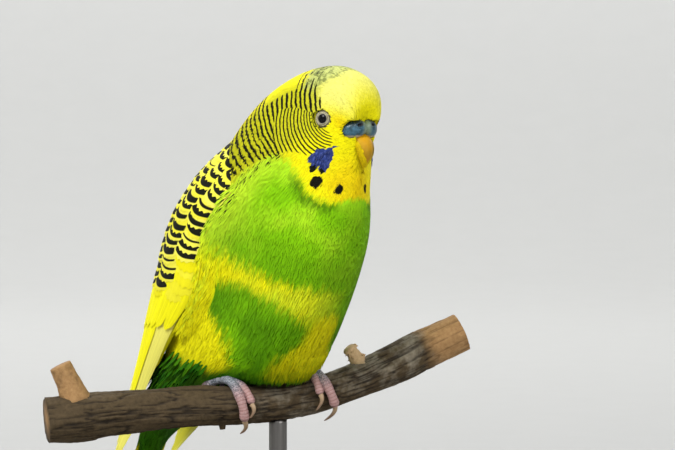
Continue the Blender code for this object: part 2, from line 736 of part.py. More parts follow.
def perch_rings(grow=0.0):
    """Rings of the branch, a little uneven as bark is."""
    rings = []
    for along in np.linspace(PERCH_LINE[0][0], PERCH_LINE[-1][0], PERCH_RINGS):
        middle, direction, radius = perch_at(along)
        level = Vector((0, 0, 1)).cross(direction).normalized()
        up = direction.cross(level)
        ring = []
        for k in range(PERCH_SIDES):
            turn = 2 * math.pi * k / PERCH_SIDES
            lump = 1.0
            for waves, size, twist in BARK_WAVES:
                lump += size * math.sin(waves * turn + along * twist)
            ring.append(middle + (level * math.cos(turn) + up * math.sin(turn)) * (radius * lump + grow))
        rings.append(ring)
    return rings


def perch_stubs(grow=0.0):
    """The stubs of the forked twig, the hooked twig and the bud under the branch."""
    level, up = perch_axis(), Vector((0, 0, 1))
    stubs = []
    for name, along, sides, steps in TWIG_STUBS:
        middle = perch_at(along)[0]
        path = [middle + up * rise + level * shift for rise, shift, _ in steps]
        stubs.append(tube(name, path, [radius + grow for _, _, radius in steps], sides))
    return stubs


def perch(name, grow=0.0, material=None):
    """The cut length of branch."""
    branch = add_object(name, *loft(perch_rings(grow)), material)
    return combine(branch, perch_stubs(grow))


def perch_spot(along, turn, reach):
    """A point at a turn angle round the perch, from its top towards the bird's front."""
    middle, direction, radius = perch_at(along)
    level = Vector((0, 0, 1)).cross(direction).normalized()
    up = direction.cross(level)
    return middle + (up * math.cos(turn) - level * math.sin(turn)) * (radius + reach)


def foot_hub(sign):
    """Where a foot's tarsus and toes meet over the perch."""
    return perch_spot(FEET[sign][0], HUB_TURN, TOE_RADIUS + TOE_CLEAR + HUB_RAISE)


def foot(sign, grow=0.0, material=None):
    """The tarsus and four toes, two in front of the perch and two behind."""
    along, toes = FEET[sign]
    hub = foot_hub(sign)
    shin_path = [hub + Vector((0.0, *step)) for step in SHIN_STEPS]
    shin_radii = [TARSUS_RADIUS * 1.15 + grow, TARSUS_RADIUS + grow, TARSUS_RADIUS + grow]
    made = tube(side_of("foot", sign), shin_path, shin_radii, TOE_SIDES, material)
    pieces = []
    for name, end, turn_end, share, _, _ in toes:
        size = TOE_RADIUS * share
        path, radii = [hub.copy()], [size * 1.1 + grow]
        for i in range(1, TOE_STEPS + 1):
            step = i / TOE_STEPS
            where = along + (end - along) * (1 - (1 - step) ** TOE_SPREAD_POWER)
            path.append(perch_spot(where, turn_end * step, size + TOE_CLEAR))
            radii.append(size * (1.0 + TOE_PAD * math.cos(4 * math.pi * step)) + grow)
        radii[-1] = size * TOE_END + grow
        pieces.append(tube(name, path, radii, TOE_SIDES, material))
    return combine(made, pieces)


def claws(sign, material):
    """The four claws, each starting a gap beyond its toe's end and curving in under the perch."""
    for name, end, turn_end, share, claw_turn, claw_drift in FEET[sign][1]:
        size = TOE_RADIUS * share
        reach = size + TOE_CLEAR
        skip = math.copysign((GAP + 0.1) / (perch_at(end)[2] + reach), turn_end)
        path, radii = [], []
        for i in range(CLAW_STEPS + 1):
            step = i / CLAW_STEPS
            turn = turn_end + skip + claw_turn * step
            path.append(perch_spot(end + claw_drift * step, turn, reach + CLAW_HOOK * step))
            radii.append(size * (CLAW_ROOT * (1 - step) ** 0.8 + CLAW_POINT))
        tube(side_of(f"claw_{name}", sign), path, radii, CLAW_SIDES, material)


def thigh(sign, grow=0.0, material=None):
    """The feathered leg above the tarsus."""
    lean = Matrix.Rotation(math.radians(THIGH_LEAN_DEG), 3, "X")
    radii = [r + grow for r in THIGH_RADII]
    centre = foot_hub(sign) + mirrored(THIGH_PLACE, sign)
    return ellipsoid(side_of("leg", sign), centre, radii, lean, 14, 8, material)


def stand(materials):
    """A round base and one rod up to the underside of the perch."""
    foot_of_base = Vector((0.0, -PERCH_Y, -PERCH_TOP))
    profile = (
        (BASE_RADIUS - BASE_BEVEL / 2, 0.0),
        (BASE_RADIUS, BASE_BEVEL / 2),
        (BASE_RADIUS, BASE_HEIGHT - BASE_BEVEL),
        (BASE_RADIUS - BASE_BEVEL, BASE_HEIGHT),
    )
    rings = []
    for radius, height in profile:
        ring = []
        for k in range(BASE_SIDES):
            turn = 2 * math.pi * k / BASE_SIDES
            ring.append(foot_of_base + Vector((radius * math.cos(turn), radius * math.sin(turn), height)))
        rings.append(ring)
    add_object("stand_base", *loft(rings), materials["stand"])
    top = perch_at(0.0)[0]
    low = Vector((top.x, top.y, foot_of_base.z + BASE_HEIGHT + GAP))
    rod = tube("stand_rod", [low, top], [ROD_RADIUS] * 2, ROD_SIDES, materials["rod"])
    carve(rod, [perch("perch_room", GAP)])


def head_furniture(head, materials):
    """Eyes, lids, cere and bill, and the room for them in the head."""
    upper_bill(0.0, materials["bill"])
    carve(lower_bill(0.0, materials["bill"]), [upper_bill(GAP)])
    carve(cere(materials["cere"]), [upper_bill(GAP)])
    tools = [upper_bill(GAP), lower_bill(GAP)]
    for sign in (1, -1):
        bay = cere_lobe(sign, FACE_BAY_GROW, None, FACE_BAY_SHIFT)
        tools += [cere_lobe(sign, GAP), bay]
        eyeball(sign, 0.0, materials["eye"])
        eyelid(sign, materials["lid"])
        tools.append(eye_socket(sign))
    carve(head, tools)


def build():
    clear_scene()
    materials = {
        "head": colour_material("head_feathers", (0.80, 0.72, 0.05), 0.7),
        "neck": colour_material("neck_feathers", (0.66, 0.62, 0.06), 0.7),
        "torso": colour_material("body_feathers", (0.30, 0.52, 0.03), 0.7),
        "leg": colour_material("leg_feathers", (0.20, 0.40, 0.03), 0.7),
        "wing": colour_material("wing_feathers", (0.78, 0.70, 0.08), 0.6),
        "tail": colour_material("tail_feathers", (0.06, 0.22, 0.05), 0.6),
        "eye": colour_material("eye", (0.02, 0.02, 0.02), 0.1),
        "lid": colour_material("eyelid", (0.62, 0.60, 0.62), 0.6),
        "cere": colour_material("cere", (0.10, 0.22, 0.36), 0.45),
        "bill": colour_material("bill", (0.72, 0.50, 0.10), 0.4),
        "foot": colour_material("foot_skin", (0.52, 0.45, 0.52), 0.6),
        "claw": colour_material("claw", (0.30, 0.22, 0.17), 0.4),
        "perch": colour_material("bark", (0.12, 0.08, 0.05), 0.9),
        "stand": colour_material("stand_wood", (0.05, 0.04, 0.035), 0.5),
        "rod": colour_material("stand_metal", (0.09, 0.085, 0.08), 0.4, 1.0),
    }
    parts = body_parts(materials)
    perch("perch", 0.0, materials["perch"])
    stand(materials)
    head_furniture(parts["head"], materials)
    tail(materials["tail"])
    torso_tools = [perch("perch_room", GAP)]
    for sign in (1, -1):
        wing(sign, materials["wing"])
        foot(sign, 0.0, materials["foot"])
        claws(sign, materials["claw"])
        carve(thigh(sign, 0.0, materials["leg"]), [foot(sign, GAP), perch("perch_room", GAP)])
        torso_tools += [foot(sign, GAP), thigh(sign, GAP)]
    carve(parts["torso"], torso_tools)


build()
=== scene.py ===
"""The looks of the perched budgerigar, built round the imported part.

Sizes are in millimetres in the bird's own frame: X is its left, -Y is where it faces, Z is up, and zero
is the top of the perch midway between its feet. add_mesh() turns them into the part's metres.
"""

import math
from types import SimpleNamespace

import bpy
import numpy as np
from mathutils import Matrix, Vector, kdtree


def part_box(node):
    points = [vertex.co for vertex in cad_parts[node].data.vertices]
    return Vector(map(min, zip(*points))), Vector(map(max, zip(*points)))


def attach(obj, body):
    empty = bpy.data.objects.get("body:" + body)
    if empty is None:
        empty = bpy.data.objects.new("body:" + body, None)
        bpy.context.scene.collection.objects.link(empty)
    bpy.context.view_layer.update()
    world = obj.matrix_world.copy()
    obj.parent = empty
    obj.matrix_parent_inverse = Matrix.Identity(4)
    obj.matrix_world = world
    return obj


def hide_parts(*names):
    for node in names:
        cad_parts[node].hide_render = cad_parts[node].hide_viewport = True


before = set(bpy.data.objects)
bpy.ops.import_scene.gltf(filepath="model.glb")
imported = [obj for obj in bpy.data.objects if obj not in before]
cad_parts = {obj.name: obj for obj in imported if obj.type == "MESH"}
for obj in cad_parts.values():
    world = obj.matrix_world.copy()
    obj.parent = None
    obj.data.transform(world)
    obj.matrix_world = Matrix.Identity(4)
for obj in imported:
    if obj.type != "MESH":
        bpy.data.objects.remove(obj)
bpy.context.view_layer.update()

MM = 0.001
PERCH_Y, PERCH_TOP = -12.0, 67.0
ORIGIN = np.array([0.0, PERCH_Y, PERCH_TOP])
SEED = 41
FULL_TURN, STEP = 2 * math.pi, 1e-3
X_AXIS, Z_AXIS = np.array([1.0, 0.0, 0.0]), np.array([0.0, 0.0, 1.0])
SIDES = ((1, "left"), (-1, "right"))

# The body, as in the solids: foot of each slanted section on the breast side (y, z), its head on the
# back side (y, z), its half width, and how far its widest place lies towards the back. The last row
# runs on over the root of the tail
BODY_SECTIONS = (
    (-41.0, 75.6, -42.2, 86.8, 2.6, 0.0), (-41.4, 73.8, -44.6, 91.0, 4.2, 0.45),
    (-41.2, 71.8, -44.5, 95.6, 5.4, 0.62), (-40.7, 69.6, -42.0, 99.6, 7.0, 0.64),
    (-40.3, 67.4, -37.3, 102.6, 8.6, 0.54), (-39.9, 65.0, -30.7, 104.4, 10.6, 0.35),
    (-39.4, 62.6, -22.4, 104.0, 12.6, 0.20), (-38.9, 60.2, -13.7, 101.8, 14.8, 0.16),
    (-38.5, 57.6, -4.7, 97.6, 17.0, 0.16), (-38.2, 54.0, 3.8, 91.6, 19.2, 0.14),
    (-37.4, 49.2, 11.9, 83.6, 21.2, 0.10), (-36.0, 43.2, 19.7, 74.1, 22.3, 0.08),
    (-33.3, 36.4, 26.8, 63.6, 22.7, 0.06), (-29.4, 28.4, 33.1, 52.3, 22.7, 0.04),
    (-24.6, 20.4, 38.6, 40.6, 22.5, 0.0), (-18.9, 12.0, 43.6, 28.8, 22.2, -0.04),
    (-11.5, 4.4, 48.0, 17.0, 21.6, -0.08), (0.2, -0.2, 52.0, 5.6, 20.2, -0.05),
    (15.0, -4.0, 56.0, -4.0, 17.8, 0.0), (32.0, -8.6, 60.3, -11.6, 14.2, 0.0),
    (48.0, -14.5, 65.0, -18.5, 9.6, 0.0), (60.0, -22.0, 69.4, -25.4, 6.0, 0.0),
    (66.9, -34.1, 72.9, -30.5, 4.6, 0.0),
)
BODY_LAST = 21.6

WING_FRONT = (
    (18.6, -4.0, 68.5), (23.0, 1.6, 60.5), (25.0, 7.2, 50.5), (25.4, 10.2, 40.5), (25.0, 13.2, 30.5),
    (23.8, 21.6, 20.5), (22.4, 31.4, 10.8), (20.2, 40.8, 1.2), (17.6, 49.0, -8.0), (14.6, 56.0, -18.0),
    (12.4, 66.0, -28.0),
)
WING_BACK = (
    (11.0, 8.0, 80.5), (11.6, 19.6, 71.5), (11.0, 28.6, 61.0), (9.8, 36.8, 49.6), (8.4, 43.8, 38.0),
    (7.4, 49.6, 26.4), (7.2, 54.6, 14.8), (7.6, 59.6, 3.2), (8.4, 65.0, -8.0), (9.2, 70.6, -18.6),
    (10.6, 76.4, -30.6),
)
WING_ARCH = (2.4, 5.2, 7.6, 8.6, 8.4, 7.2, 5.4, 3.8, 2.6, 1.6, 0.5)
WING_THICKNESS = (4.0, 7.6, 9.0, 9.0, 8.6, 7.4, 5.6, 4.0, 2.8, 1.8, 1.0)
WING_BOW_POWER = 0.75
WING_CORE_END, WING_CORE_TAPER = 0.88, 0.66

TAIL_ROOT = np.array([0.0, 60.8, -14.4])
TAIL_PITCH = math.radians(59.0)
TAIL_LENGTH = 54.4
TAIL_PAIRS = (1.0, 0.82, 0.71, 0.62, 0.54, 0.47)

EYE_DIRECTION_DEG, EYE_TILT_DEG = 67.0, 4.0
EYE_CENTRE = np.array([8.8, -33.3, 87.1])
EYE_RADIUS = 2.8
PUPIL_RADIUS, IRIS_RADIUS = 1.50, 1.84
LID_INNER, LID_OUTER = 1.62, 2.78
LID_BACK, LID_FORE = 0.20, 0.02
EYE_CLEAR, FAR = 2.56, 99.0

CERE_LOBE = np.array([3.1, -41.0, 83.9])
CERE_LOBE_RADII = np.array([4.3, 2.5, 2.9])
CERE_LOBE_TILT_DEG, CERE_LOBE_YAW_DEG = 16.0, 31.0
FACE_BAY_SHIFT, FACE_BAY_GROW, FACE_BAY_TOP = np.array([1.2, -2.6, 0.0]), 0.7, 86.7
NOSTRIL, NOSTRIL_RADII = np.array([2.7, -43.3, 85.3]), np.array([1.15, 1.6, 0.62])
BILL_PATH = (
    (0, -37.5, 80.0), (0, -39.9, 80.2), (0, -41.7, 79.4), (0, -42.6, 77.6), (0, -42.8, 75.7),
    (0, -42.6, 74.0), (0, -42.3, 72.7), (0, -41.9, 71.6),
)
BILL_WIDTHS = (3.3, 3.5, 3.5, 3.3, 2.8, 2.0, 1.2, 0.4)
BILL_DEPTHS = (2.4, 2.6, 2.5, 2.2, 1.9, 1.4, 0.9, 0.3)
LOWER_BILL_PATH = ((0, -37.2, 75.4), (0, -38.8, 74.7), (0, -40.1, 73.7), (0, -41.0, 72.7))
LOWER_BILL_WIDTHS = (2.7, 2.5, 2.0, 1.0)
LOWER_BILL_FLATNESS = 0.6

PERCH_YAW = math.radians(30.0)
PERCH_AXIS = np.array([math.cos(PERCH_YAW), -math.sin(PERCH_YAW), 0.0])
PERCH_LINE = (
    (-77.0, -11.6, 7.6), (-66.0, -10.6, 8.0), (-55.0, -9.4, 7.4), (-44.0, -8.6, 7.0),
    (-30.0, -7.9, 6.8), (-15.0, -7.4, 6.6), (0.0, -6.5, 6.3), (12.0, -4.4, 6.0),
    (24.0, -0.9, 5.9), (36.0, 3.9, 6.5), (50.0, 10.4, 6.8), (62.0, 16.0, 6.6),
)
BARK_WAVES = ((3, 0.03, 0.11), (5, 0.02, -0.23))
# Stubs of twigs: place along the perch, rows of (rise, shift along it, radius), and how bare the wood is
TWIG_STUBS = (
    ("fork_stub", -66.0, ((0, 0, 6.8), (5, -1.5, 5.6), (10.5, -3.4, 4.2), (17, -6.6, 3.6)), 1.0),
    ("knob_stub", 27.0, ((2.0, 3.0, 4.2), (5.6, 0.6, 3.0), (8.8, -1.6, 2.3), (11.0, -3.4, 2.2)), 1.0),
    ("bud_stub", -19.0, ((-4, 0, 1.8), (-7.8, 0.4, 0.9)), 0.0),
)
KNOB_STRANDS = 18

# Feet: place of each along the perch, then for each toe the place of its end, how far round the perch it
# reaches, its size, and how its claw turns on and drifts
TOE_RADIUS, TARSUS_RADIUS, SHIN_PLATES = 1.55, 1.7, 9
FEET = {
    1: (13.0, (
        ("outer_front", 16.6, 2.20, 1.0, 0.62, -2.4), ("inner_front", 12.8, 1.50, 0.88, 0.55, -1.2),
        ("outer_back", 18.0, -1.75, 1.0, -0.55, 0.6), ("inner_back", 12.4, -1.20, 0.85, -0.45, -0.4),
    )),
    -1: (-17.6, (
        ("outer_front", -12.9, 2.15, 1.0, 0.62, 0.4), ("inner_front", -10.6, 1.48, 0.88, 0.50, 0.5),
        ("outer_back", -24.6, -1.55, 1.0, -0.55, -0.6), ("inner_back", -17.2, -1.25, 0.85, -0.45, 0.4),
    )),
}
TOE_CLEAR = 0.32 + 0.25
TOE_SPREAD_POWER, TOE_PAD, SCUTE_LENGTH = 1.6, 0.09, 1.05
HUB_TURN, HUB_RAISE = -0.12, 0.5
SHIN_STEPS = ((0.0, 0.0), (1.8, 2.4), (4.8, 8.0))
CLAW_HOOK, CLAW_ROOT, CLAW_POINT = 1.2, 0.58, 0.09
CLAW_BOW, CLAW_SWEEP = 0.7, 1.3
THIGH_RADII = np.array([6.0, 7.0, 9.6])
THIGH_PLACE = np.array([-1.5, 4.2, 9.8])
THIGH_LEAN_DEG = -20.0

BASE_RADIUS, BASE_HEIGHT, BASE_BEVEL = 58.0, 8.0, 1.2
ROD_RADIUS, ROD_CLEAR = 3.0, 0.02

# Floor and lights, in metres, degrees and watts
FLOOR_FLAT, FLOOR_BEND, WALL_HEIGHT = 1.8, 1.6, 4.5
LIGHT_TARGET = Vector((0.0, 0.0, 0.10))
LIGHTS = (
    ("key", -78.0, 42.0, 2.6, 0.9, 50.0), ("fill", -8.0, 22.0, 2.8, 1.6, 20.0), ("rim", 150.0, 45.0, 2.4, 0.9, 26.0),
)
WALL_LIGHT_PLACE, WALL_LIGHT_AIM = (0.9, 1.0, 2.3), Vector((1.4, 1.55, -1.3))

# Camera: where it looks from, and the millimetres that the photograph shows across at the bird
CAMERA_AZIMUTH_DEG, CAMERA_ELEVATION_DEG = -42.0, 2.0
CAMERA_DISTANCE, MM_PER_PIXEL = 1500.0, 0.33
PHOTO_SIZE, PERCH_TOP_PIXEL = (675, 450), (278.0, 382.0)
SENSOR_WIDTH = 36.0

# Colours of the plumage, linear
YELLOW = np.array([0.86, 0.78, 0.004])
DEEP_YELLOW = np.array([0.80, 0.58, 0.003])
# OCHRE: a darker orange, partly painted shade beside and under the bill
OCHRE = np.array([0.50, 0.36, 0.003])
PALE_YELLOW = np.array([0.79, 0.76, 0.16])
NAPE_YELLOW = np.array([0.48, 0.48, 0.012])
CROWN_GREY = np.array([0.52, 0.57, 0.17])
CROWN_FLECK = np.array([0.09, 0.115, 0.025])
CREAM = np.array([0.88, 0.82, 0.15])
SECONDARY_YELLOW = np.array([0.93, 0.87, 0.008])
APPLE_GREEN = np.array([0.24, 0.58, 0.003])
PALE_GREEN = np.array([0.58, 0.82, 0.03])
MID_GREEN = np.array([0.10, 0.29, 0.002])
VENT_GREEN = np.array([0.014, 0.13, 0.003])
OLIVE = np.array([0.16, 0.20, 0.003])
VIOLET = np.array([0.028, 0.046, 0.19])
TAIL_BLUE = np.array([0.006, 0.05, 0.06])
INK, SHAFT_PALE, BLACK = (0.007, 0.008, 0.004, 1), (0.75, 0.78, 0.86, 1), (0.003, 0.003, 0.004, 1)

rng = np.random.default_rng(SEED)


# Curves and surfaces

def smooth_table(rows, places):
    """Numbers, or rows of them, read at fractional places along a smooth curve through them."""
    table = np.array(rows, float).reshape(len(rows), -1)
    last = len(table) - 1
    table = np.vstack([2 * table[0] - table[1], table, 2 * table[-1] - table[-2]])
    places = np.asarray(places, float)
    i = np.clip(np.floor(places).astype(int), 0, last - 1)
    t = (places - i)[..., None]
    before, a, b, after = table[i], table[i + 1], table[i + 2], table[i + 3]
    read = (
        a
        + 0.5 * t * (b - before)
        + t * t * (before - 2.5 * a + 2 * b - 0.5 * after)
        + t * t * t * (1.5 * (a - b) + 0.5 * (after - before))
    )
    return read if np.ndim(rows) > 1 else read[..., 0]


def unit(vectors):
    return vectors / np.maximum(np.linalg.norm(vectors, axis=-1, keepdims=True), 1e-12)


def mirror(sign):
    return np.array([sign, 1.0, 1.0])


def circle(count):
    return np.linspace(0, FULL_TURN, count, endpoint=False)


def crossed(a, b):
    """Two arrays that pair each a, down the rows, with each b."""
    return np.meshgrid(a, b, indexing="ij")


def signed(turn):
    """A turn brought between half a turn back and half a turn on."""
    return np.mod(turn + math.pi, FULL_TURN) - math.pi


def on_sphere(polar, turn):
    return np.stack([np.sin(polar) * np.cos(turn), np.sin(polar) * np.sin(turn), np.cos(polar)], -1)


def rotation(axis, degrees):
    return np.array(Matrix.Rotation(math.radians(degrees), 3, axis))


def slopes(surface, a, b):
    """How a surface runs on over 2 * STEP in each of its two directions."""
    zero = np.zeros_like(a)
    return (surface(a + STEP, b, zero) - surface(a - STEP, b, zero),
            surface(a, b + STEP, zero) - surface(a, b - STEP, zero))


def body_base(place, turn):
    """Points of the body: place runs from the face to the tail, turn from the breast round by the left."""
    read = smooth_table(BODY_SECTIONS, place)
    foot_y, foot_z, head_y, head_z, half, skew = (read[..., k] for k in range(6))
    length = np.hypot(head_y - foot_y, head_z - foot_z)
    up_y, up_z = (head_y - foot_y) / length, (head_z - foot_z) / length
    rise = -np.cos(turn)
    side = np.sin(turn) * (1 + skew * rise)
    reach = rise * length / 2
    return np.stack([side * half, (foot_y + head_y) / 2 + up_y * reach, (foot_z + head_z) / 2 + up_z * reach], -1)


def raised(base, a, b, height, turned=1.0):
    """Points of a surface at a height over it, along its normal."""
    a, b, height = np.broadcast_arrays(*(np.asarray(x, float) for x in (a, b, height)))
    points = base(a, b)
    if not height.any():
        return points
    out = unit(np.cross(base(a + STEP, b) - points, base(a, b + STEP) - points))
    return points + out * (turned * height)[..., None]


def body_surface(place, turn, height):
    return raised(body_base, place, turn, height)


def wing_surface(sign):
    """The outer face of a folded wing: place runs from the shoulder to the tip, across from its front."""
    def surface(place, across, height):
        where = np.asarray(place) * (len(WING_FRONT) - 1)
        front, chord = smooth_table(WING_FRONT, where), wing_chord(place)
        ahead, behind = (
            smooth_table(WING_FRONT, where + d) + smooth_table(WING_BACK, where + d) for d in (0.1, -0.1)
        )
        out = unit(np.cross(ahead - behind, chord))
        out *= np.sign(out[..., :1])
        bow = np.clip(4 * across * (1 - across), 0, None) ** WING_BOW_POWER
        lift = smooth_table(WING_ARCH, where) * bow + height
        return (front + chord * np.asarray(across)[..., None] + out * lift[..., None]) * mirror(sign)
    return surface


def wing_chord(place):
    """From the front edge of the left wing to its back edge."""
    where = np.asarray(place) * (len(WING_FRONT) - 1)
    return smooth_table(WING_BACK, where) - smooth_table(WING_FRONT, where)


def tail_surface(place, across, height):
    """The tail: place runs from its root to its tip, across and height are in millimetres."""
    place, across, height = (x[..., None] for x in np.broadcast_arrays(place, across, height))
    cos, sin = math.cos(TAIL_PITCH), math.sin(TAIL_PITCH)
    along, up = np.array([0.0, cos, -sin]), np.array([0.0, sin, cos])
    return TAIL_ROOT + place * along * TAIL_LENGTH + across * X_AXIS + height * up


def thigh_surface(sign):
    """A feathered leg: place runs from its top to its foot, turn goes round it."""
    centre = foot_hub(sign) + THIGH_PLACE * mirror(sign)
    lean = rotation("X", THIGH_LEAN_DEG)

    def surface(place, turn, height):
        radii = THIGH_RADII + np.asarray(height)[..., None]
        return centre + (on_sphere(np.asarray(place) * math.pi, turn) * radii) @ lean.T
    return surface


def bill_surface(place, turn, height):
    """The upper bill: place runs along its path from the cere, turn from the left side to the front."""
    ahead = unit(smooth_table(BILL_PATH, place + 0.05) - smooth_table(BILL_PATH, place - 0.05))
    front = np.stack([0 * ahead[..., 0], ahead[..., 2], -ahead[..., 1]], -1)
    wide, deep = (smooth_table(row, place) + height for row in (BILL_WIDTHS, BILL_DEPTHS))
    across, out = (wide * np.cos(turn))[..., None], (deep * np.sin(turn))[..., None]
    return smooth_table(BILL_PATH, place) + X_AXIS * across + front * out


def perch_at(along):
    """Middle, direction and radius of the perch at distances along it, and its level and upward sides."""
    where = np.interp(along, np.array(PERCH_LINE)[:, 0], np.arange(len(PERCH_LINE)))
    read = smooth_table(PERCH_LINE, where)
    slope = smooth_table(PERCH_LINE, where + 0.1) - smooth_table(PERCH_LINE, where - 0.1)
    direction = unit(slope[..., :1] * PERCH_AXIS + slope[..., 1:2] * Z_AXIS)
    level = unit(np.cross(Z_AXIS, direction))
    middle = read[..., :1] * PERCH_AXIS + read[..., 1:2] * Z_AXIS
    return middle, direction, read[..., 2], level, np.cross(direction, level)


def perch_spot(along, turn, reach):
    """Points at a turn angle round the perch, from its top towards the bird's front."""
    middle, _, radius, level, up = perch_at(along)
    turn = np.asarray(turn)[..., None]
    return middle + (up * np.cos(turn) - level * np.sin(turn)) * (radius + reach)[..., None]


def foot_hub(sign):
    return perch_spot(np.array(FEET[sign][0]), HUB_TURN, np.array(TOE_RADIUS + TOE_CLEAR + HUB_RAISE))


# Small helpers for fields

def ease(x, low, high):
    """0 below low, 1 above high, smooth between them."""
    t = np.clip((x - low) / (high - low), 0, 1)
    return t * t * (3 - 2 * t)


def mix(a, b, share):
    return a + (b - a) * np.asarray(share)[..., None]


def bumps(table, x):
    """A table of (place, value) pairs read at x."""
    return np.interp(x, *zip(*table))


def hump(*off):
    """A soft spot: 1 where every off is 0."""
    return np.exp(-sum(x * x for x in off))


def lattice(ix, iy, iz):
    """A fixed pseudo-random number from 0 to 1 for each lattice corner."""
    h = (ix * 374761393 + iy * 668265263 + iz * 2147483647) & 0x7FFFFFFF
    h = ((h ^ (h >> 13)) * 1274126177) & 0x7FFFFFFF
    return ((h ^ (h >> 16)) & 0xFFFF) / 65535.0


def noise(points, size, octaves=3):
    """Smooth noise from -1 to 1 at points, whose largest lumps are about size across."""
    total, weight, amount = 0.0, 1.0, 0.0
    for octave in range(octaves):
        spot = np.asarray(points) * (2.0**octave / size) + 57.0 * octave
        base = np.floor(spot).astype(np.int64)
        f = spot - base
        f = f * f * (3 - 2 * f)
        value = 0.0
        for corner in np.ndindex(2, 2, 2):
            share = math.prod(f[..., k] if d else 1 - f[..., k] for k, d in enumerate(corner))
            value = value + share * lattice(*(base[..., k] + d for k, d in enumerate(corner)))
        total = total + weight * (2 * value - 1)
        amount += weight
        weight *= 0.5
    return total / amount


# Meshes

def add_mesh(name, body, material, replaced=(), fields=None, bake=None, normals=None, rim=False):
    """A smooth piece on the root body from points, quads and triangles, with fields as point attributes.
    rim keeps a sharp edge between the upper and the lower face of a vane."""
    points, quads, tris = body
    points = (np.asarray(points, float) + ORIGIN) * MM
    quads, tris = np.asarray(quads, np.int32).reshape(-1, 4), np.asarray(tris, np.int32).reshape(-1, 3)
    corners = np.append(quads, tris).astype(np.int32)
    starts = np.append(np.arange(len(quads)) * 4, len(quads) * 4 + np.arange(len(tris)) * 3).astype(np.int32)
    mesh = bpy.data.meshes.new(name)
    mesh.vertices.add(len(points))
    mesh.vertices.foreach_set("co", points.astype(np.float32).ravel())
    mesh.loops.add(len(corners))
    mesh.loops.foreach_set("vertex_index", corners)
    mesh.polygons.add(len(starts))
    mesh.polygons.foreach_set("loop_start", starts)
    mesh.update(calc_edges=True)
    mesh.shade_smooth()
    if rim:
        mesh.set_sharp_from_angle(angle=RIM_ANGLE)
    if normals is not None:
        mesh.normals_split_custom_set_from_vertices(np.ascontiguousarray(normals, np.float32))
    for key, values in (fields or {}).items():
        values = np.asarray(values, np.float32)
        kind, part = ("FLOAT", "value") if values.ndim == 1 else ("FLOAT_VECTOR", "vector")
        mesh.attributes.new(key, kind, "POINT").data.foreach_set(part, values.ravel())
    if bake is not None:
        mesh.uv_layers.new(name="OFBake").data.foreach_set("uv", np.asarray(bake, np.float32)[corners].ravel())
    mesh.materials.append(material)
    made = link(name, mesh)
    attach(made, "root")
    if replaced:
        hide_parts(*replaced)


def link(name, data):
    made = bpy.data.objects.new(name, data)
    bpy.context.scene.collection.objects.link(made)
    return made


def grid_faces(rows, columns):
    """Quads of a grid of points, whose columns close into a ring."""
    r, c = np.arange(rows - 1)[:, None], np.arange(columns)[None, :]
    onward = (c + 1) % columns
    return np.stack([
        r * columns + c, r * columns + onward, (r + 1) * columns + onward, (r + 1) * columns + c
    ], -1).reshape(-1, 4)


def capped_tube(rings, first=None):
    """Points, quads and triangles of a tube over rings (rows, columns, 3), closed at both ends."""
    rows, columns = rings.shape[:2]
    first = rings[0].mean(0) if first is None else first
    points = np.vstack([rings.reshape(-1, 3), first, rings[-1].mean(0)])
    k = np.arange(columns)
    onward, hub, end = (k + 1) % columns, np.full(columns, rows * columns), (rows - 1) * columns
    tris = np.vstack([np.stack([hub, onward, k], -1), np.stack([hub + 1, end + k, end + onward], -1)])
    return face_outward(points, grid_faces(rows, columns), tris)


def face_outward(points, quads, tris):
    """A closed body with its faces turned about if they look inwards."""
    volume = 0.0
    for corners in (quads[:, [0, 1, 2]], quads[:, [0, 2, 3]], tris):
        a, b, c = (points[corners[:, k]] for k in range(3))
        volume += float((a * np.cross(b, c)).sum())
    turned = 1 if volume > 0 else -1
    return points, quads[:, ::turned], tris[:, ::turned]


def join_parts(parts):
    """One body from several."""
    bases = np.cumsum([0] + [len(points) for points, _, _ in parts])
    faces = [np.vstack([part[k] + base for part, base in zip(parts, bases)]) for k in (1, 2)]
    return np.vstack([points for points, _, _ in parts]), *faces


def path_rings(path, widths, depths, sides, shape=None):
    """Rings round a path, carried without twist. shape (rows, sides) may change the radius."""
    tangent = unit(np.gradient(path, axis=0))
    up = Z_AXIS if abs(tangent[0, 2]) < 0.9 else np.array([0.0, 1.0, 0.0])
    turn = np.arange(sides) * 2 * math.pi / sides
    shape = np.ones((len(path), sides)) if shape is None else shape
    rings = []
    for point, ahead, width, depth, change in zip(path, tangent, widths, depths, shape):
        up = up - ahead * up.dot(ahead)
        up = up / np.linalg.norm(up)
        side = np.cross(ahead, up)
        rings.append(
            point + side * (width * change * np.cos(turn))[:, None] + up * (depth * change * np.sin(turn))[:, None]
        )
    return np.array(rings)


# Feather vanes

BAKE_PATCH = 0.003
VANE_ROUND, RIM_ANGLE = 0.09, math.radians(60.0)


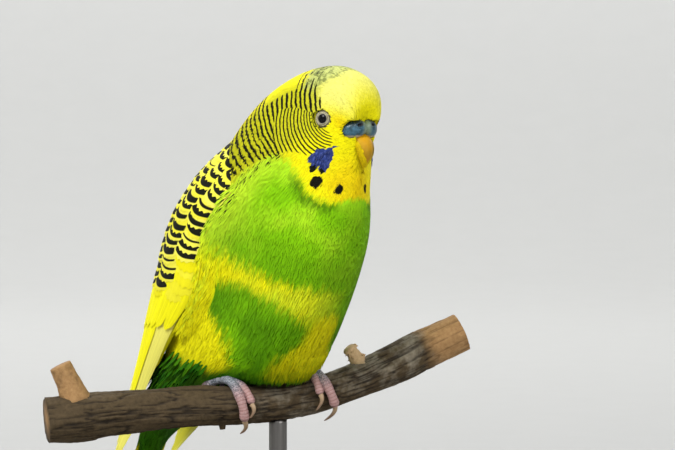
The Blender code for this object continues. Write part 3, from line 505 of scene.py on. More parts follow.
def vane_form(columns, rows, notch, rounding, root_width, end_width, stiff=False):
    """The corners of one vane as shares of its length and half width, and its faces. Its end is split
    into columns / 2 barbs that are notch long. A stiff vane keeps a sharp rim."""
    number, corners, faces = {}, [], []
    for layer, r, c in np.ndindex(2, rows + 1, columns + 1):
        if layer and (r in (0, rows) or c in (0, columns)):
            number[1, r, c] = number[0, r, c]
            continue
        number[layer, r, c] = len(corners)
        u = 2 * c / columns - 1
        s = r / (rows - 1) * (1.0 - notch * 1.25)
        if r == rows:
            s = 1.0 if c % 2 else 1.0 - notch
        corners.append((s * (1 - rounding * u * u * (s > 0)), u, layer, r == rows))
    share, side, under, tip = np.array(corners, float).T
    wide = root_width + (1 - root_width) * ease(share, 0.0, 0.45)
    wide *= 1 - (1 - end_width) * share**4
    for layer, r, c in np.ndindex(2, rows, columns):
        quad = [number[layer, r + dr, c + dc] for dr, dc in ((0, 0), (0, 1), (1, 1), (1, 0))]
        faces.append(quad[::-1] if layer else quad)
    return SimpleNamespace(
        share=share, side=side, reach=side * wide, under=under, tip=tip, faces=np.array(faces), stiff=stiff
    )


HEAD_VANE = vane_form(4, 3, 0.30, 0.12, 0.5, 0.75)
BODY_VANE = vane_form(4, 4, 0.40, 0.12, 0.4, 0.6)
LARGE_VANE = vane_form(10, 9, 0.05, 0.16, 0.45, 0.75, True)
FLIGHT_VANE = vane_form(10, 16, 0.02, 0.10, 0.5, 0.62, True)


def spread(surface, a, b, form, length, width, angle, low, high, camber, thick, ragged=0.0, power=0.8, dip=0.0):
    """Corner points of many vanes that lie on a surface, their normals, and their places on it.

    a and b are the roots, angle turns a vane from the direction of a towards that of b, low and high
    are the heights of its root and its tip, and dip lowers the very tip."""
    n = len(a)
    a, b, length, width, angle, low, high = (
        np.broadcast_to(np.asarray(x, float), (n,))[:, None] for x in (a, b, length, width, angle, low, high)
    )
    cos, sin = np.cos(angle), np.sin(angle)

    def pace(a_at, b_at):
        return [np.maximum(np.linalg.norm(d, axis=-1), 1e-6) / (2 * STEP) for d in slopes(surface, a_at, b_at)]

    def facing(a_at, b_at):
        da, db = slopes(surface, a_at, b_at)
        zero, out = np.zeros_like(a_at), np.cross(da, db)
        out *= np.sign((out * (surface(a_at, b_at, zero + 0.1) - surface(a_at, b_at, zero))).sum(-1))[..., None]
        return unit(out), cos[..., None] * unit(db) - sin[..., None] * unit(da)

    pace_a, pace_b = pace(a, b)
    for _ in range(2):
        pace_a, pace_b = pace(a + cos * length / pace_a / 2, b + sin * length / pace_b / 2)
    along = form.share * length
    if ragged:
        along = along * (1 - ragged * rng.random((n, len(form.share))) * form.tip)
    across = form.reach * width / 2
    at_a = a + (along * cos - across * sin) / pace_a
    at_b = b + (along * sin + across * cos) / pace_b
    height = low + (high - low) * form.share**power
    height = height - camber * form.side**2 - thick * form.under - dip * form.share**5
    out, side = facing(a, b)
    out_tip, _ = facing(a + cos * length / pace_a, b + sin * length / pace_b)
    normals = out + (out_tip - out) * form.share[:, None] + side * (form.side * VANE_ROUND)[:, None]
    return surface(at_a, at_b, height), unit(normals), at_a, at_b


def vane_mesh(name, form, material, vanes, tint, homes, phase=0.0, bars=-2.0, spot=-3.0, seeds=None,
              replaced=()):
    """One coat piece from the vanes that spread() gives. tint is given per vane or per corner, and homes
    are the roots' places on the unwrap."""
    points, normals = vanes[:2]
    n, corners = points.shape[:2]
    seeds = rng.random(n) if seeds is None else seeds
    local = points - points.mean(1, keepdims=True)
    a, b, c, d = (local[:, form.faces[:, i]] for i in range(4))
    volume = (a * (np.cross(b, c) + np.cross(c, d))).sum((1, 2))
    faces = np.where(volume[:, None, None] < 0, form.faces[:, ::-1], form.faces)
    faces = (faces + (np.arange(n) * corners)[:, None, None]).reshape(-1, 4)
    vane = np.broadcast_arrays((form.side + 1) / 2, form.share, seeds[:, None])
    patch = np.stack([form.side, form.share * 2 - 1], -1) * BAKE_PATCH / 2

    def flat(values, *size):
        return np.broadcast_to(values, (n, corners, *size)).reshape(-1, *size)

    add_mesh(
        name, (points.reshape(-1, 3), faces, []), material, replaced,
        {"tint": flat(tint if tint.ndim == 3 else tint[:, None], 3), "phase": flat(phase, 3), "bars": flat(bars),
         "spot": flat(spot), "vane": flat(np.stack(vane, -1), 3)},
        (homes[:, None] + patch).reshape(-1, 2), None if form.stiff else normals.reshape(-1, 3), form.stiff,
    )


# Materials

class Value:
    """An output of a node, which can be added, subtracted and multiplied."""

    def __init__(self, maker, socket):
        self.maker, self.socket = maker, socket

    def __add__(self, other):
        return self.maker.math("ADD", self, other)

    def __sub__(self, other):
        return self.maker.math("SUBTRACT", self, other)

    def __rsub__(self, other):
        return self.maker.math("SUBTRACT", other, self)

    def __mul__(self, other):
        return self.maker.math("MULTIPLY", self, other)


class Maker:
    """Builds one node material with little code."""

    def __init__(self, name, roughness, specular=0.5, metallic=0.0):
        self.material = bpy.data.materials.new(name)
        self.material.use_nodes = True
        self.tree = self.material.node_tree
        self.shader = self.tree.nodes["Principled BSDF"]
        for key, value in (("Roughness", roughness), ("Specular IOR Level", specular), ("Metallic", metallic)):
            self.put(self.shader.inputs[key], value)

    def put(self, socket, value):
        if isinstance(value, Value):
            self.tree.links.new(value.socket, socket)
        else:
            socket.default_value = value

    def node(self, kind, output, inputs, **settings):
        """One output of a new node, whose inputs are given by name or number."""
        made = self.tree.nodes.new(kind)
        for key, value in settings.items():
            setattr(made, key, value)
        for key, value in inputs.items():
            self.put(made.inputs[key], value)
        return Value(self, made.outputs[output])

    def math(self, operation, a, b=0.0):
        return self.node("ShaderNodeMath", 0, {0: a, 1: b}, operation=operation)

    def attribute(self, name, output="Fac"):
        return self.node("ShaderNodeAttribute", output, {}, attribute_name=name)

    def place(self):
        return self.node("ShaderNodeTexCoord", "Object", {})

    def split(self, vector):
        whole = self.node("ShaderNodeSeparateXYZ", 0, {"Vector": vector}).socket.node
        return [Value(self, socket) for socket in whole.outputs]

    def smooth(self, value, low, high):
        inputs = {"Value": value, "From Min": low, "From Max": high}
        return self.node("ShaderNodeMapRange", 0, inputs, interpolation_type="SMOOTHSTEP")

    def blend(self, share, a, b, kind="MIX"):
        return self.node("ShaderNodeMix", 2, {0: share, 6: a, 7: b}, data_type="RGBA", blend_type=kind)

    def layers(self, colour, *over):
        """A colour with others laid over it, each by its own share."""
        for share, on_top in over:
            colour = self.blend(share, colour, on_top)
        return colour

    def noise(self, vector, scale, detail=3.0, roughness=0.55):
        inputs = {"Vector": vector, "Scale": scale, "Detail": detail, "Roughness": roughness}
        return self.node("ShaderNodeTexNoise", "Fac", inputs)

    def cells(self, scale):
        return self.node("ShaderNodeTexVoronoi", "Distance", {"Vector": self.place(), "Scale": scale})

    def grain(self, scale, detail, roughness=0.55):
        """Noise drawn out along the direction of the smallest scale."""
        stretched = self.node("ShaderNodeMapping", 0, {"Vector": self.place(), "Scale": scale})
        return self.noise(stretched, 1.0, detail, roughness)

    def barbs(self, across, along):
        """Fine streaks along each vane, different on each."""
        u, v, seed = self.split(self.attribute("vane", "Vector"))
        lines = self.node("ShaderNodeCombineXYZ", 0, {0: u * across, 1: v * along, 2: seed * 61.0})
        return u, v, self.noise(lines, 2.2, 3.0, 0.6)

    def tinted(self, shade):
        inputs = {0: self.attribute("tint", "Vector"), "Scale": shade}
        return self.node("ShaderNodeVectorMath", 0, inputs, operation="SCALE")

    def finish(self, colour, height=None, strength=0.0, distance=0.0):
        """The material, with its colour and, if a height is given, its fine relief."""
        self.put(self.shader.inputs["Base Color"], colour)
        if height is not None:
            inputs = {"Strength": strength, "Distance": distance, "Height": height}
            self.put(self.shader.inputs["Normal"], self.node("ShaderNodeBump", 0, inputs))
        return self.material


def plumage_material(name, streak=0.35, fineness=1.8, shaft=0.0):
    """Feathers: the tint from the code's fields, inked bars and spots, and fine streaks along each vane."""
    m = Maker(name, 0.68, 0.07)
    u, _, lines = m.barbs(fineness, 0.8)
    first, second, pick = m.split(m.attribute("phase", "Vector"))
    drift = (m.noise(m.place(), 420.0, 2.0) - 0.5) * 0.30
    pick = m.smooth(pick, 0.47, 0.53)
    first, second = (m.math("SINE", (phase + drift) * FULL_TURN) for phase in (first, second))
    bars = m.smooth(first * (1.0 - pick) + second * pick + m.attribute("bars"), -0.22, 0.22)
    ink = m.math("MAXIMUM", bars, m.smooth(m.attribute("spot"), -0.06, 0.06))
    colour = m.tinted(m.smooth(lines, 0.25, 0.75) * streak + (1.0 - streak / 2))
    if shaft:
        line = (1.0 - m.smooth(m.math("ABSOLUTE", u - 0.5), 0.02, 0.07)) * shaft
        colour = m.blend(line, colour, SHAFT_PALE)
    return m.finish(m.blend(ink, colour, INK), lines, 0.18, 0.0002)


def covert_material(name):
    """Small coverts of the wing: yellow, each with a black crescent inside its pale fringe."""
    m = Maker(name, 0.62, 0.1)
    u, v, lines = m.barbs(4.0, 1.2)
    fringe, inner, side_fringe = m.split(m.attribute("phase", "Vector"))
    across = u * 2.0 - 1.0
    inset = (1.0 - across * across * 0.13) - v + (lines - 0.5) * 0.010
    below, above = m.smooth(inset - fringe, -0.010, 0.010), m.smooth(inner - inset, -0.012, 0.012)
    sides = m.smooth((1.0 - m.math("ABSOLUTE", across)) - side_fringe, 0.0, 0.10)
    ink = below * above * (sides * m.attribute("bars"))
    return m.finish(m.blend(ink, m.tinted(lines * 0.22 + 0.88), INK), lines, 0.25, 0.0002)


PLUMAGE = plumage_material("plumage")
VANES = plumage_material("large_vanes", 0.22, 5.0)
SHAFTED = plumage_material("shafted_vanes", 0.6, 2.6, 0.14)
COVERTS = covert_material("covert_vanes")


# How the plumage is coloured. p is the place along the body, t the turn from the breast

GREEN_START = ((0.0, 6.3), (0.3, 6.7), (0.42, 7.5), (0.6, 8.2), (0.8, 8.45), (0.95, 8.6), (1.1, 8.3), (1.35, 8.1),
               (1.45, 8.2), (1.6, 8.6), (1.75, 9.8), (1.95, 11.2), (2.1, 13.2), (2.5, 14.2), (3.2, 14.4))
BAR_START = ((1.22, 9.0), (1.27, 4.7), (1.4, 4.55), (1.5, 4.75), (1.6, 5.2), (1.72, 5.6), (1.84, 5.1), (1.9, 4.75),
             (2.0, 4.7), (2.2, 5.15), (2.5, 5.0), (3.2, 4.6))
BAR_END = ((1.22, 6.6), (1.3, 7.2), (1.4, 7.6), (1.5, 8.1), (1.6, 9.0), (1.7, 9.9), (1.8, 10.6), (1.95, 11.6),
           (2.1, 13.6), (3.2, 14.0))
NAPE_BARS = ((4.0, -2.7), (4.95, 0.0), (6.05, 3.5), (8.1, 11.6), (9.0, 15.6), (9.6, 17.8), (11.0, 22.2),
             (14.0, 29.6), (22.0, 46.0))
CHEEK_CENTRE = (4.0, 1.79)
CHEEK_BARS = ((3.0, -1.95), (4.9, 0.25), (6.6, 2.25), (8.36, 4.25), (10.42, 6.25), (12.59, 8.25), (15.32, 10.25),
              (17.96, 12.25), (24.0, 16.5))
CHEEK_SEAM = ((4.0, 1.60), (5.0, 1.72), (5.5, 1.82), (5.9, 1.87), (6.5, 1.99), (7.25, 2.08), (7.6, 2.04),
              (7.9, 1.92), (8.2, 1.75), (8.4, 1.58), (8.8, 1.4), (12.0, 1.2))
BAND_END = ((0.0, 14.4), (0.35, 14.1), (0.8, 13.75), (1.2, 13.45), (1.6, 13.75), (1.9, 14.0))
FLANK_START = ((13.5, 1.95), (13.9, 1.72), (14.6, 1.50), (15.5, 1.22), (16.3, 1.0), (17.5, 0.95))
FRONT_WIDTH = ((13.5, 0.22), (15.0, 0.27), (15.6, 0.5), (16.4, 0.55))
VENT_START = ((0.0, 16.2), (0.8, 16.5), (1.2, 16.7), (1.6, 16.6), (2.2, 16.4), (3.2, 15.8))
# Throat spots: turn, place and half sizes in both
SPOTS = (
    (-0.94, 7.65, 0.085, 0.50), (-0.56, 6.75, 0.085, 0.62), (-1.12, 7.14, 0.060, 0.30), (-1.00, 6.62, 0.040, 0.34),
    (0.38, 5.85, 0.075, 0.60), (0.94, 7.65, 0.085, 0.50), (1.12, 7.14, 0.060, 0.30), (1.00, 6.62, 0.040, 0.34),
)
# Outline of the violet cheek patch: turn and place of its corners
PATCH_EDGE = ((1.30, 6.58), (1.21, 5.12), (1.04, 5.62), (0.97, 6.58), (1.11, 7.15), (1.19, 7.27))


def inside_patch(turn, p):
    """Whether places lie inside the outline of the cheek patch."""
    inside = np.ones(np.shape(p), bool)
    for (t0, p0), (t1, p1) in zip(PATCH_EDGE, PATCH_EDGE[1:] + PATCH_EDGE[:1]):
        inside &= (t1 - t0) * (p - p0) - (p1 - p0) * (turn - t0) < 0
    return inside


def paint_body(p, t, root_p, root_t, jitter):
    """Tint, bar phases, bar strength and spots at places on the body, mirrored left and right."""
    p, t, root_p, root_t, jitter = np.broadcast_arrays(p, signed(t), root_p, np.abs(signed(root_t)), jitter)
    tau = np.abs(t)
    at = 0.5 * p + 0.5 * root_p + 0.25 + 0.16 * jitter
    turn = 0.5 * tau + 0.5 * root_t
    points = body_surface(p, t, np.zeros_like(p))
    cloud = noise(points, 9.0)
    # Head: greyish crown, pale forehead (partly the bird's paler yellow, partly a painted highlight on the top of
    # the head), bright over the cere and round the eye, deep yellow mask
    crown = ease(turn, 1.62, 2.15) * ease(at, 1.0, 3.6) * (1 - ease(at, 5.4, 6.4))
    tint = mix(YELLOW, PALE_YELLOW, crown)
    nape = ease(turn, 1.3, 1.7) * ease(at, 4.8, 5.6)
    tint = mix(tint, NAPE_YELLOW, nape * 0.85 * (1 - ease(turn, 2.3, 2.6) * ease(at, 6.0, 6.6)))
    front = 5.3 - 1.0 * ease(turn, 2.15, 2.75)
    grey = ease(turn, 2.1, 2.45) * ease(at, front - 0.3, front + 0.4) * (1 - ease(at, 5.95, 6.35))
    tint = mix(tint, CROWN_GREY, grey * 0.9)
    flecks = ease(0.6 * jitter + 2.0 * noise(points * np.array([1.0, 2.2, 1.0]), 1.5, 2), -0.15, 0.45)
    tint = mix(tint, CROWN_FLECK, grey * flecks * 0.75)
    mask = (1 - ease(turn, 0.5, 1.25)) * (1 - ease(at, 6.5, 8.5))
    tint = mix(tint, DEEP_YELLOW, mask * np.clip(0.7 + 0.9 * cloud, 0, 1))
    tint = mix(tint, DEEP_YELLOW, 0.8 * hump((turn - 1.62) / 0.17, (at - 3.6) / 0.8))
    # Painted shade under the bill: the throat darkened towards ochre.
    tint = mix(tint, OCHRE, 0.55 * hump((turn - 0.35) / 0.35, (at - 2.2) / 1.3))
    # Green from the breast down, with painted shadow under the overhanging mask feathers at the throat's end
    start = bumps(GREEN_START, turn)
    tone = mix(APPLE_GREEN, PALE_GREEN, np.clip(0.22 + 1.1 * cloud, 0, 1) * 0.6)
    tone = mix(tone, MID_GREEN, np.clip(-0.15 - 1.1 * cloud + 0.25 * jitter, 0, 1) * 0.55)
    tone = mix(tone, PALE_GREEN, ease(turn, 1.30, 1.80) * (1 - ease(at, 11.8, 13.2)) * 0.9)
    tone = mix(tone, MID_GREEN, (1 - ease(turn, 0.15, 0.75)) * ease(at, 6.5, 9.0) * 0.45)
    # Painted shade: the lower breast darker.
    tone = mix(tone, MID_GREEN, ease(at, 10.6, 12.2) * (1 - ease(turn, 1.5, 1.9)) * 0.4)
    # Painted shadow under the overhanging mask feathers.
    mask_shadow = hump((at - start - 0.45) / 0.32) * ease(turn, 0.35, 0.55) * (1 - ease(turn, 1.1, 1.35))
    tint = mix(tint, mix(tone, MID_GREEN * 0.5, mask_shadow * 0.8), ease(at - start, -0.35, 0.45))
    # The yellow band over the belly, the darker middle, yellow flanks and front, and the dark vent
    low = at + 0.22 * cloud
    under_band = ease(low - bumps(BAND_END, turn), -0.3, 0.3)
    band = ease(low, 12.55, 13.1) * (1 - under_band) * (1 - ease(turn, 1.9, 2.15)) * ease(-t, -0.25, 0.45)
    tint = mix(tint, mix(YELLOW, PALE_GREEN, np.clip(0.25 + 0.9 * cloud, 0, 0.5)), band * 0.92)
    middle = under_band * (1 - ease(turn, 1.9, 2.2))
    tint = mix(tint, mix(MID_GREEN, APPLE_GREEN, np.clip(0.15 + cloud, 0, 1)), middle)
    flank = ease(turn + 0.12 * cloud - bumps(FLANK_START, low), -0.10, 0.10) * ease(low, 13.5, 14.1)
    tint = mix(tint, YELLOW, flank * 0.95)
    front = (1 - ease(turn - bumps(FRONT_WIDTH, low), -0.1, 0.1)) * ease(low, 13.6, 14.2)
    tint = mix(tint, mix(YELLOW, OLIVE, 0.25), front)
    vent_tone = mix(VENT_GREEN, MID_GREEN, np.clip(0.25 + 0.8 * cloud, 0, 0.7))
    tint = mix(tint, vent_tone, ease(low - bumps(VENT_START, turn), -0.25, 0.35))
    rump_tone = mix(APPLE_GREEN, MID_GREEN, ease(at, 15.0, 20.0) * 0.7)
    tint = mix(tint, rump_tone, ease(turn, 2.1, 2.4) * ease(at, 13.8, 14.6))
    violet = inside_patch(root_t, root_p + 0.75 + 0.1 * jitter).astype(float)
    tint = mix(tint, VIOLET, violet) * (1 + 0.07 * jitter)[..., None]
    # Bars: they run across the nape and the mantle, and in rings round the cheek
    inside = np.minimum(p - bumps(BAR_START, tau), bumps(BAR_END, tau) - p)
    strength = ease(inside, -0.05, 0.35 + 1.1 * ease(p, 8.6, 9.6))
    hind = np.minimum.reduce([(tau - 2.34) / 0.12, (p - 6.45) / 0.3, (8.0 - p) / 0.4])
    strength = strength * (1 - ease(hind, -0.4, 0.5))
    crown = ease(tau, 2.25, 2.45) * (1 - ease(p, 5.8, 6.6))
    heavy = -0.12 + 0.25 * ease(p, 9.5, 11.0) - 0.35 * crown
    heavy = heavy - 0.5 * ease(noise(points + 40.0, 3.0, 2), 0.0, 0.35) * ease(p, 7.6, 9.0)
    pick = ease(bumps(CHEEK_SEAM, p) - tau, -0.05, 0.05)
    bars = np.where(strength > 0.01, heavy - 1.6 * (1 - strength), -2.0) - 1.2 * violet - 0.22 * pick
    broken = ease(noise(points, 1.6, 2) + 0.3 * jitter, -0.2, 0.2)
    bars = bars - (0.5 + 0.9 * ease(tau, 2.4, 2.7)) * crown * broken
    loose = 0.05 + 0.13 * ease(p, 7.0, 10.0)
    nape_phase = bumps(NAPE_BARS, p + 0.10 * (tau - 2.0)) + loose * jitter + 0.25 * noise(points, 5.0, 2)
    left = np.stack([np.abs(points[..., 0]), points[..., 1], points[..., 2]], -1)
    away = np.linalg.norm(left - body_surface(*CHEEK_CENTRE, 0.0), axis=-1)
    phase = np.stack([nape_phase, bumps(CHEEK_BARS, away) + 0.05 * jitter, pick], -1)
    spot = np.full(p.shape, -3.0)
    ragged = 0.16 * jitter + 0.5 * noise(points, 1.4, 2)
    for spot_t, spot_p, half_t, half_p in SPOTS:
        spot = np.maximum(spot, 1 + ragged - np.hypot((t - spot_t) / half_t, (p - spot_p) / half_p))
    return np.clip(tint, 0, 1), phase, bars, np.where(violet > 0.5, -3.0, spot)


def dark_shafts(amount, jitter, form):
    """Spot strength that leaves only the shaft of a vane dark."""
    return amount * jitter[:, None] - 0.55 - 1.1 * np.abs(form.side)


def frayed(p, t, jitter, form):
    """Dark shafts where the bars of the mantle run out into the green."""
    tau = np.abs(signed(t))
    near = hump((p - bumps(BAR_END, tau) - 0.10) / 0.85) * ease(tau, 1.40, 1.52) * (1 - ease(tau, 1.95, 2.15))
    return dark_shafts(near, 0.80 + 0.5 * jitter, form)


# Where vanes grow

SCATTER_CELLS, SCATTER_TRIES = 160, 9


def near_tree(points):
    tree = kdtree.KDTree(len(points))
    for i, point in enumerate(points):
        tree.insert(point, i)
    tree.balance()
    return tree


def scatter(surface, a_range, b_range, spacing, keep):
    """Roots spread evenly over a surface, no nearer to each other than spacing(a, b)."""
    edges = [np.linspace(*ends, SCATTER_CELLS + 1) for ends in (a_range, b_range)]
    a, b = (g.ravel() for g in crossed(*((edge[1:] + edge[:-1]) / 2 for edge in edges)))
    a_size, b_size = (edge[1] - edge[0] for edge in edges)
    area = np.linalg.norm(np.cross(*slopes(surface, a, b)), axis=-1) / (4 * STEP * STEP) * (a_size * b_size)
    total = np.cumsum(area / spacing(a, b) ** 2)
    count = int(total[-1] * SCATTER_TRIES)
    cell = np.searchsorted(total, rng.random(count) * total[-1])
    a = a[cell] + (rng.random(count) - 0.5) * a_size
    b = b[cell] + (rng.random(count) - 0.5) * b_size
    points = surface(a, b, np.zeros(count))
    good = keep(a, b, points)
    a, b, points = a[good], b[good], points[good]
    room = np.broadcast_to(spacing(a, b), a.shape)
    tree = near_tree(points)
    taken, chosen = bytearray(len(points)), []
    for i, point in enumerate(points):
        if not taken[i]:
            chosen.append(i)
            for _, near, _ in tree.find_range(point, room[i]):
                taken[near] = 1
    return a[chosen], b[chosen]


def eye_frame(sign):
    """Middle and axis of an eye, and the turn that brings Z_AXIS to that axis."""
    turn, tilt = math.radians(EYE_DIRECTION_DEG), math.radians(EYE_TILT_DEG)
    axis = np.array([
        sign * math.sin(turn) * math.cos(tilt), -math.cos(turn) * math.cos(tilt), math.sin(tilt)
    ])
    turned = np.array(Vector((0, 0, 1)).rotation_difference(Vector(axis)).to_matrix())
    return EYE_CENTRE * mirror(sign), axis, turned


def lid_stretch(turned, turn, share):
    """How much wider the bare ring is towards the back of the head than towards the bill."""
    back = turned.T @ np.array([0.0, 1.0, 0.0])
    back = back[:2] / np.linalg.norm(back[:2])
    towards = np.cos(turn) * back[0] + np.sin(turn) * back[1]
    return 1 + (LID_BACK * (1 + towards) / 2 + LID_FORE * (1 - towards) / 2) * share


def eye_distance(points):
    """How far points lie from the nearer eye's axis, where they are near that eye."""
    best = np.full(points.shape[:-1], FAR)
    for sign, _ in SIDES:
        centre, _, turned = eye_frame(sign)
        x, y, z = np.moveaxis((points - centre) @ turned, -1, 0)
        off = np.hypot(x, y) / lid_stretch(turned, np.arctan2(y, x), 1.0)
        best = np.minimum(best, np.where(z > -2.0, off, FAR))
    return best


def lobe_frame(sign, shift=0.0):
    """Middle and turn of a lobe of the cere."""
    turn = rotation("Y", sign * CERE_LOBE_TILT_DEG) @ rotation("Z", sign * CERE_LOBE_YAW_DEG)
    return (CERE_LOBE + shift) * mirror(sign), turn


def in_lobe(points, grow, shift=0.0):
    """How deep points are in either cere lobe, moved by shift and grown: above 0 is inside."""
    depths = []
    for sign, _ in SIDES:
        centre, turn = lobe_frame(sign, shift)
        depths.append(1 - np.linalg.norm((points - centre) @ turn / (CERE_LOBE_RADII + grow), axis=-1))
    return np.maximum(*depths)


def in_bay(points):
    """Whether points are in the hollows of the face round the cere lobes."""
    return (in_lobe(points, FACE_BAY_GROW, FACE_BAY_SHIFT) > 0) & (points[..., 2] < FACE_BAY_TOP)


def in_bill(points):
    """Whether points are inside the bill, with a little room."""
    found = np.zeros(points.shape[:-1], bool)
    where = np.linspace(0, len(BILL_PATH) - 1, 29)
    for middle, wide in zip(smooth_table(BILL_PATH, where), smooth_table(BILL_WIDTHS, where)):
        found |= np.linalg.norm((points - middle) * np.array([1.0, 1.35, 1.1]), axis=-1) < wide * 0.93
    return found


WING_GRID = [g.ravel() for g in crossed(np.linspace(0.0, 1.0, 61), np.linspace(0.0, 1.0, 21))]
WING_TREE = near_tree(wing_surface(1)(*WING_GRID, 0.0))


def under_wing(points):
    """Whether points of the body lie under a folded wing."""
    hidden = np.zeros(len(points), bool)
    for i, (x, y, z) in enumerate(points):
        _, at, gap = WING_TREE.find((abs(x), y, z))
        hidden[i] = gap < 11.0 and 0.02 < WING_GRID[0][at] < 0.90 and 0.12 < WING_GRID[1][at] < 0.93
    return hidden


def bake_home(place, turn):
    """Where a root lies on the unwrap of the body."""
    return np.stack([np.mod(turn, FULL_TURN) / FULL_TURN * 0.98 + 0.01, place / 22.5 * 0.98 + 0.01], -1)


# The coat over the front edge of each wing

SHOULDER_REACH, SHOULDER_DROP = 6.5, 2.5
SHOULDER_PLACES = np.linspace(-0.01, 0.60, 44)


def shoulder_table():
    """Rows along a wing's front edge: a place on the body before it, the edge, and a place on the wing,
    as points, then the body's place and turn there."""
    edge, inner = (wing_surface(1)(SHOULDER_PLACES, *at) for at in ((-0.04, 0.75), (0.07, 1.1)))
    p, t = (g.ravel() for g in crossed(np.linspace(5, 20, 400), np.linspace(0.3, 2.8, 160)))
    grid = body_base(p, t)
    rows = []
    for e, i, ahead in zip(edge, inner, unit(edge - inner)):
        want = e + ahead * SHOULDER_REACH - SHOULDER_DROP * X_AXIS
        near = np.argmin(((grid - want) ** 2).sum(1))
        rows.append([*body_surface(p[near], t[near], 0.05), *e, *i, p[near], t[near]])
    rows = np.array(rows)
    for _ in range(3):
        rows[1:-1] = (rows[:-2] + rows[1:-1] * 2 + rows[2:]) / 4
    return rows


SHOULDER = shoulder_table()


def shoulder_read(place):
    return smooth_table(SHOULDER, np.interp(place, SHOULDER_PLACES, np.arange(len(SHOULDER))))


def shoulder_surface(sign):
    """The lie of the breast feathers over a wing's front edge: b is 0 on the body, 0.5 at the edge, and 1
    on the wing."""
    def base(place, across):
        read, q = shoulder_read(place), np.asarray(across)[..., None]
        body, edge, inner = read[..., 0:3], read[..., 3:6], read[..., 6:9]
        points = body * (2 * (q - 0.5) * (q - 1)) + edge * (4 * q * (1 - q)) + inner * (2 * q * (q - 0.5))
        return points * mirror(sign)

    return lambda place, across, height: raised(base, place, across, height, sign)


def shoulder_coat(sign, side):
    """Breast feathers that lie over the front edge of a folded wing."""
    surface = shoulder_surface(sign)

    def keep(a, b, points):
        return rng.random(len(a)) < (1 - ease(b, 0.34, 0.50)) * (1 - ease(a, 0.44, 0.54))

    a, b = scatter(surface, (0.0, 0.54), (0.0, 0.50), lambda a, b: 0.80, keep)
    n = len(a)
    jitter = rng.uniform(-1, 1, n)
    vanes = spread(
        surface, a, b, BODY_VANE, rng.uniform(5.0, 7.5, n), rng.uniform(1.0, 1.4, n),
        0.20 - 0.25 * ease(a, 0.30, 0.50) + rng.normal(0, 0.09, n), -0.3, rng.uniform(0.0, 0.25, n),
        camber=0.06, thick=0.07, ragged=0.25,
    )
    _, _, at_a, at_b = vanes
    read, root = shoulder_read(at_a), shoulder_read(a)
    tint, phase, bars, marks = paint_body(
        read[..., 9] - 0.3, read[..., 10] + 0.12 * at_b, root[:, 9:10] - 0.3, root[:, 10:11], jitter[:, None]
    )
    tint = mix(tint, PALE_GREEN, ease(at_b, 0.1, 0.6) * 0.7 * (1 - ease(at_a, 0.2, 0.3)))
    gold = mix(YELLOW, PALE_GREEN, np.clip(0.15 + 0.4 * jitter, 0, 0.5)[:, None] * ease(at_b, 0.0, 0.4))
    tint = mix(tint, gold, ease(at_b, -0.15, 0.10) * 0.95 * ease(at_a + 0.03 * jitter[:, None], 0.20, 0.31))
    streaky = (1 - ease(at_a, 0.12, 0.26)) * ease(at_b, 0.02, 0.2)
    vane_mesh(
        f"coat_shoulder_{side}", BODY_VANE, PLUMAGE, vanes, tint,
        bake_home(root[:, 9], root[:, 10] * sign), phase, np.minimum(bars, -2.0 + 1.6 * (at_a < 0.06)),
        np.maximum(marks, dark_shafts(streaky, 0.55 + 0.6 * jitter, BODY_VANE)),
    )


# Skin and coat of the body

COAT_DEPTH = ((0.0, 0.4), (2.0, 0.45), (5.0, 0.5), (8.0, 0.7), (11.0, 1.1), (17.0, 1.3), (21.0, 1.0))
SPACING = ((0.0, 0.42), (2.0, 0.50), (5.0, 0.60), (8.0, 0.68), (11.0, 0.77), (22.0, 0.92))
VANE_LENGTH = ((0.0, 1.6), (2.0, 2.4), (5.0, 3.3), (8.0, 4.8), (11.0, 6.8), (15.0, 8.5), (22.0, 9.0))
VANE_WIDTH = ((0.0, 0.7), (2.0, 0.85), (5.0, 1.0), (8.0, 1.1), (11.0, 1.15), (22.0, 1.35))
VANE_SWING = ((0.0, 0.12), (8.0, 0.08), (12.0, 0.06), (22.0, 0.06))
VANE_SCATTER = ((0.0, 0.01), (8.0, 0.012), (12.0, 0.02), (18.0, 0.03), (22.0, 0.05))
VANE_LOWERED = ((0.0, 0.1), (9.0, 0.1), (12.0, 0.0))
VANE_SLOPE = ((0.0, 0.10), (6.0, 0.13), (9.0, 0.22), (12.0, 0.30))
HEAD_END = 8.2
# Coat pieces by region, with the place where each ends
REGIONS = (
    ("face", 3.6), ("cheek", 6.2), ("nape", HEAD_END), ("throat", 9.9), ("neck", 11.3), ("breast", 12.6),
    ("chest", 13.6), ("belly", 15.6), ("flank", 18.0), ("rump", BODY_LAST),
)


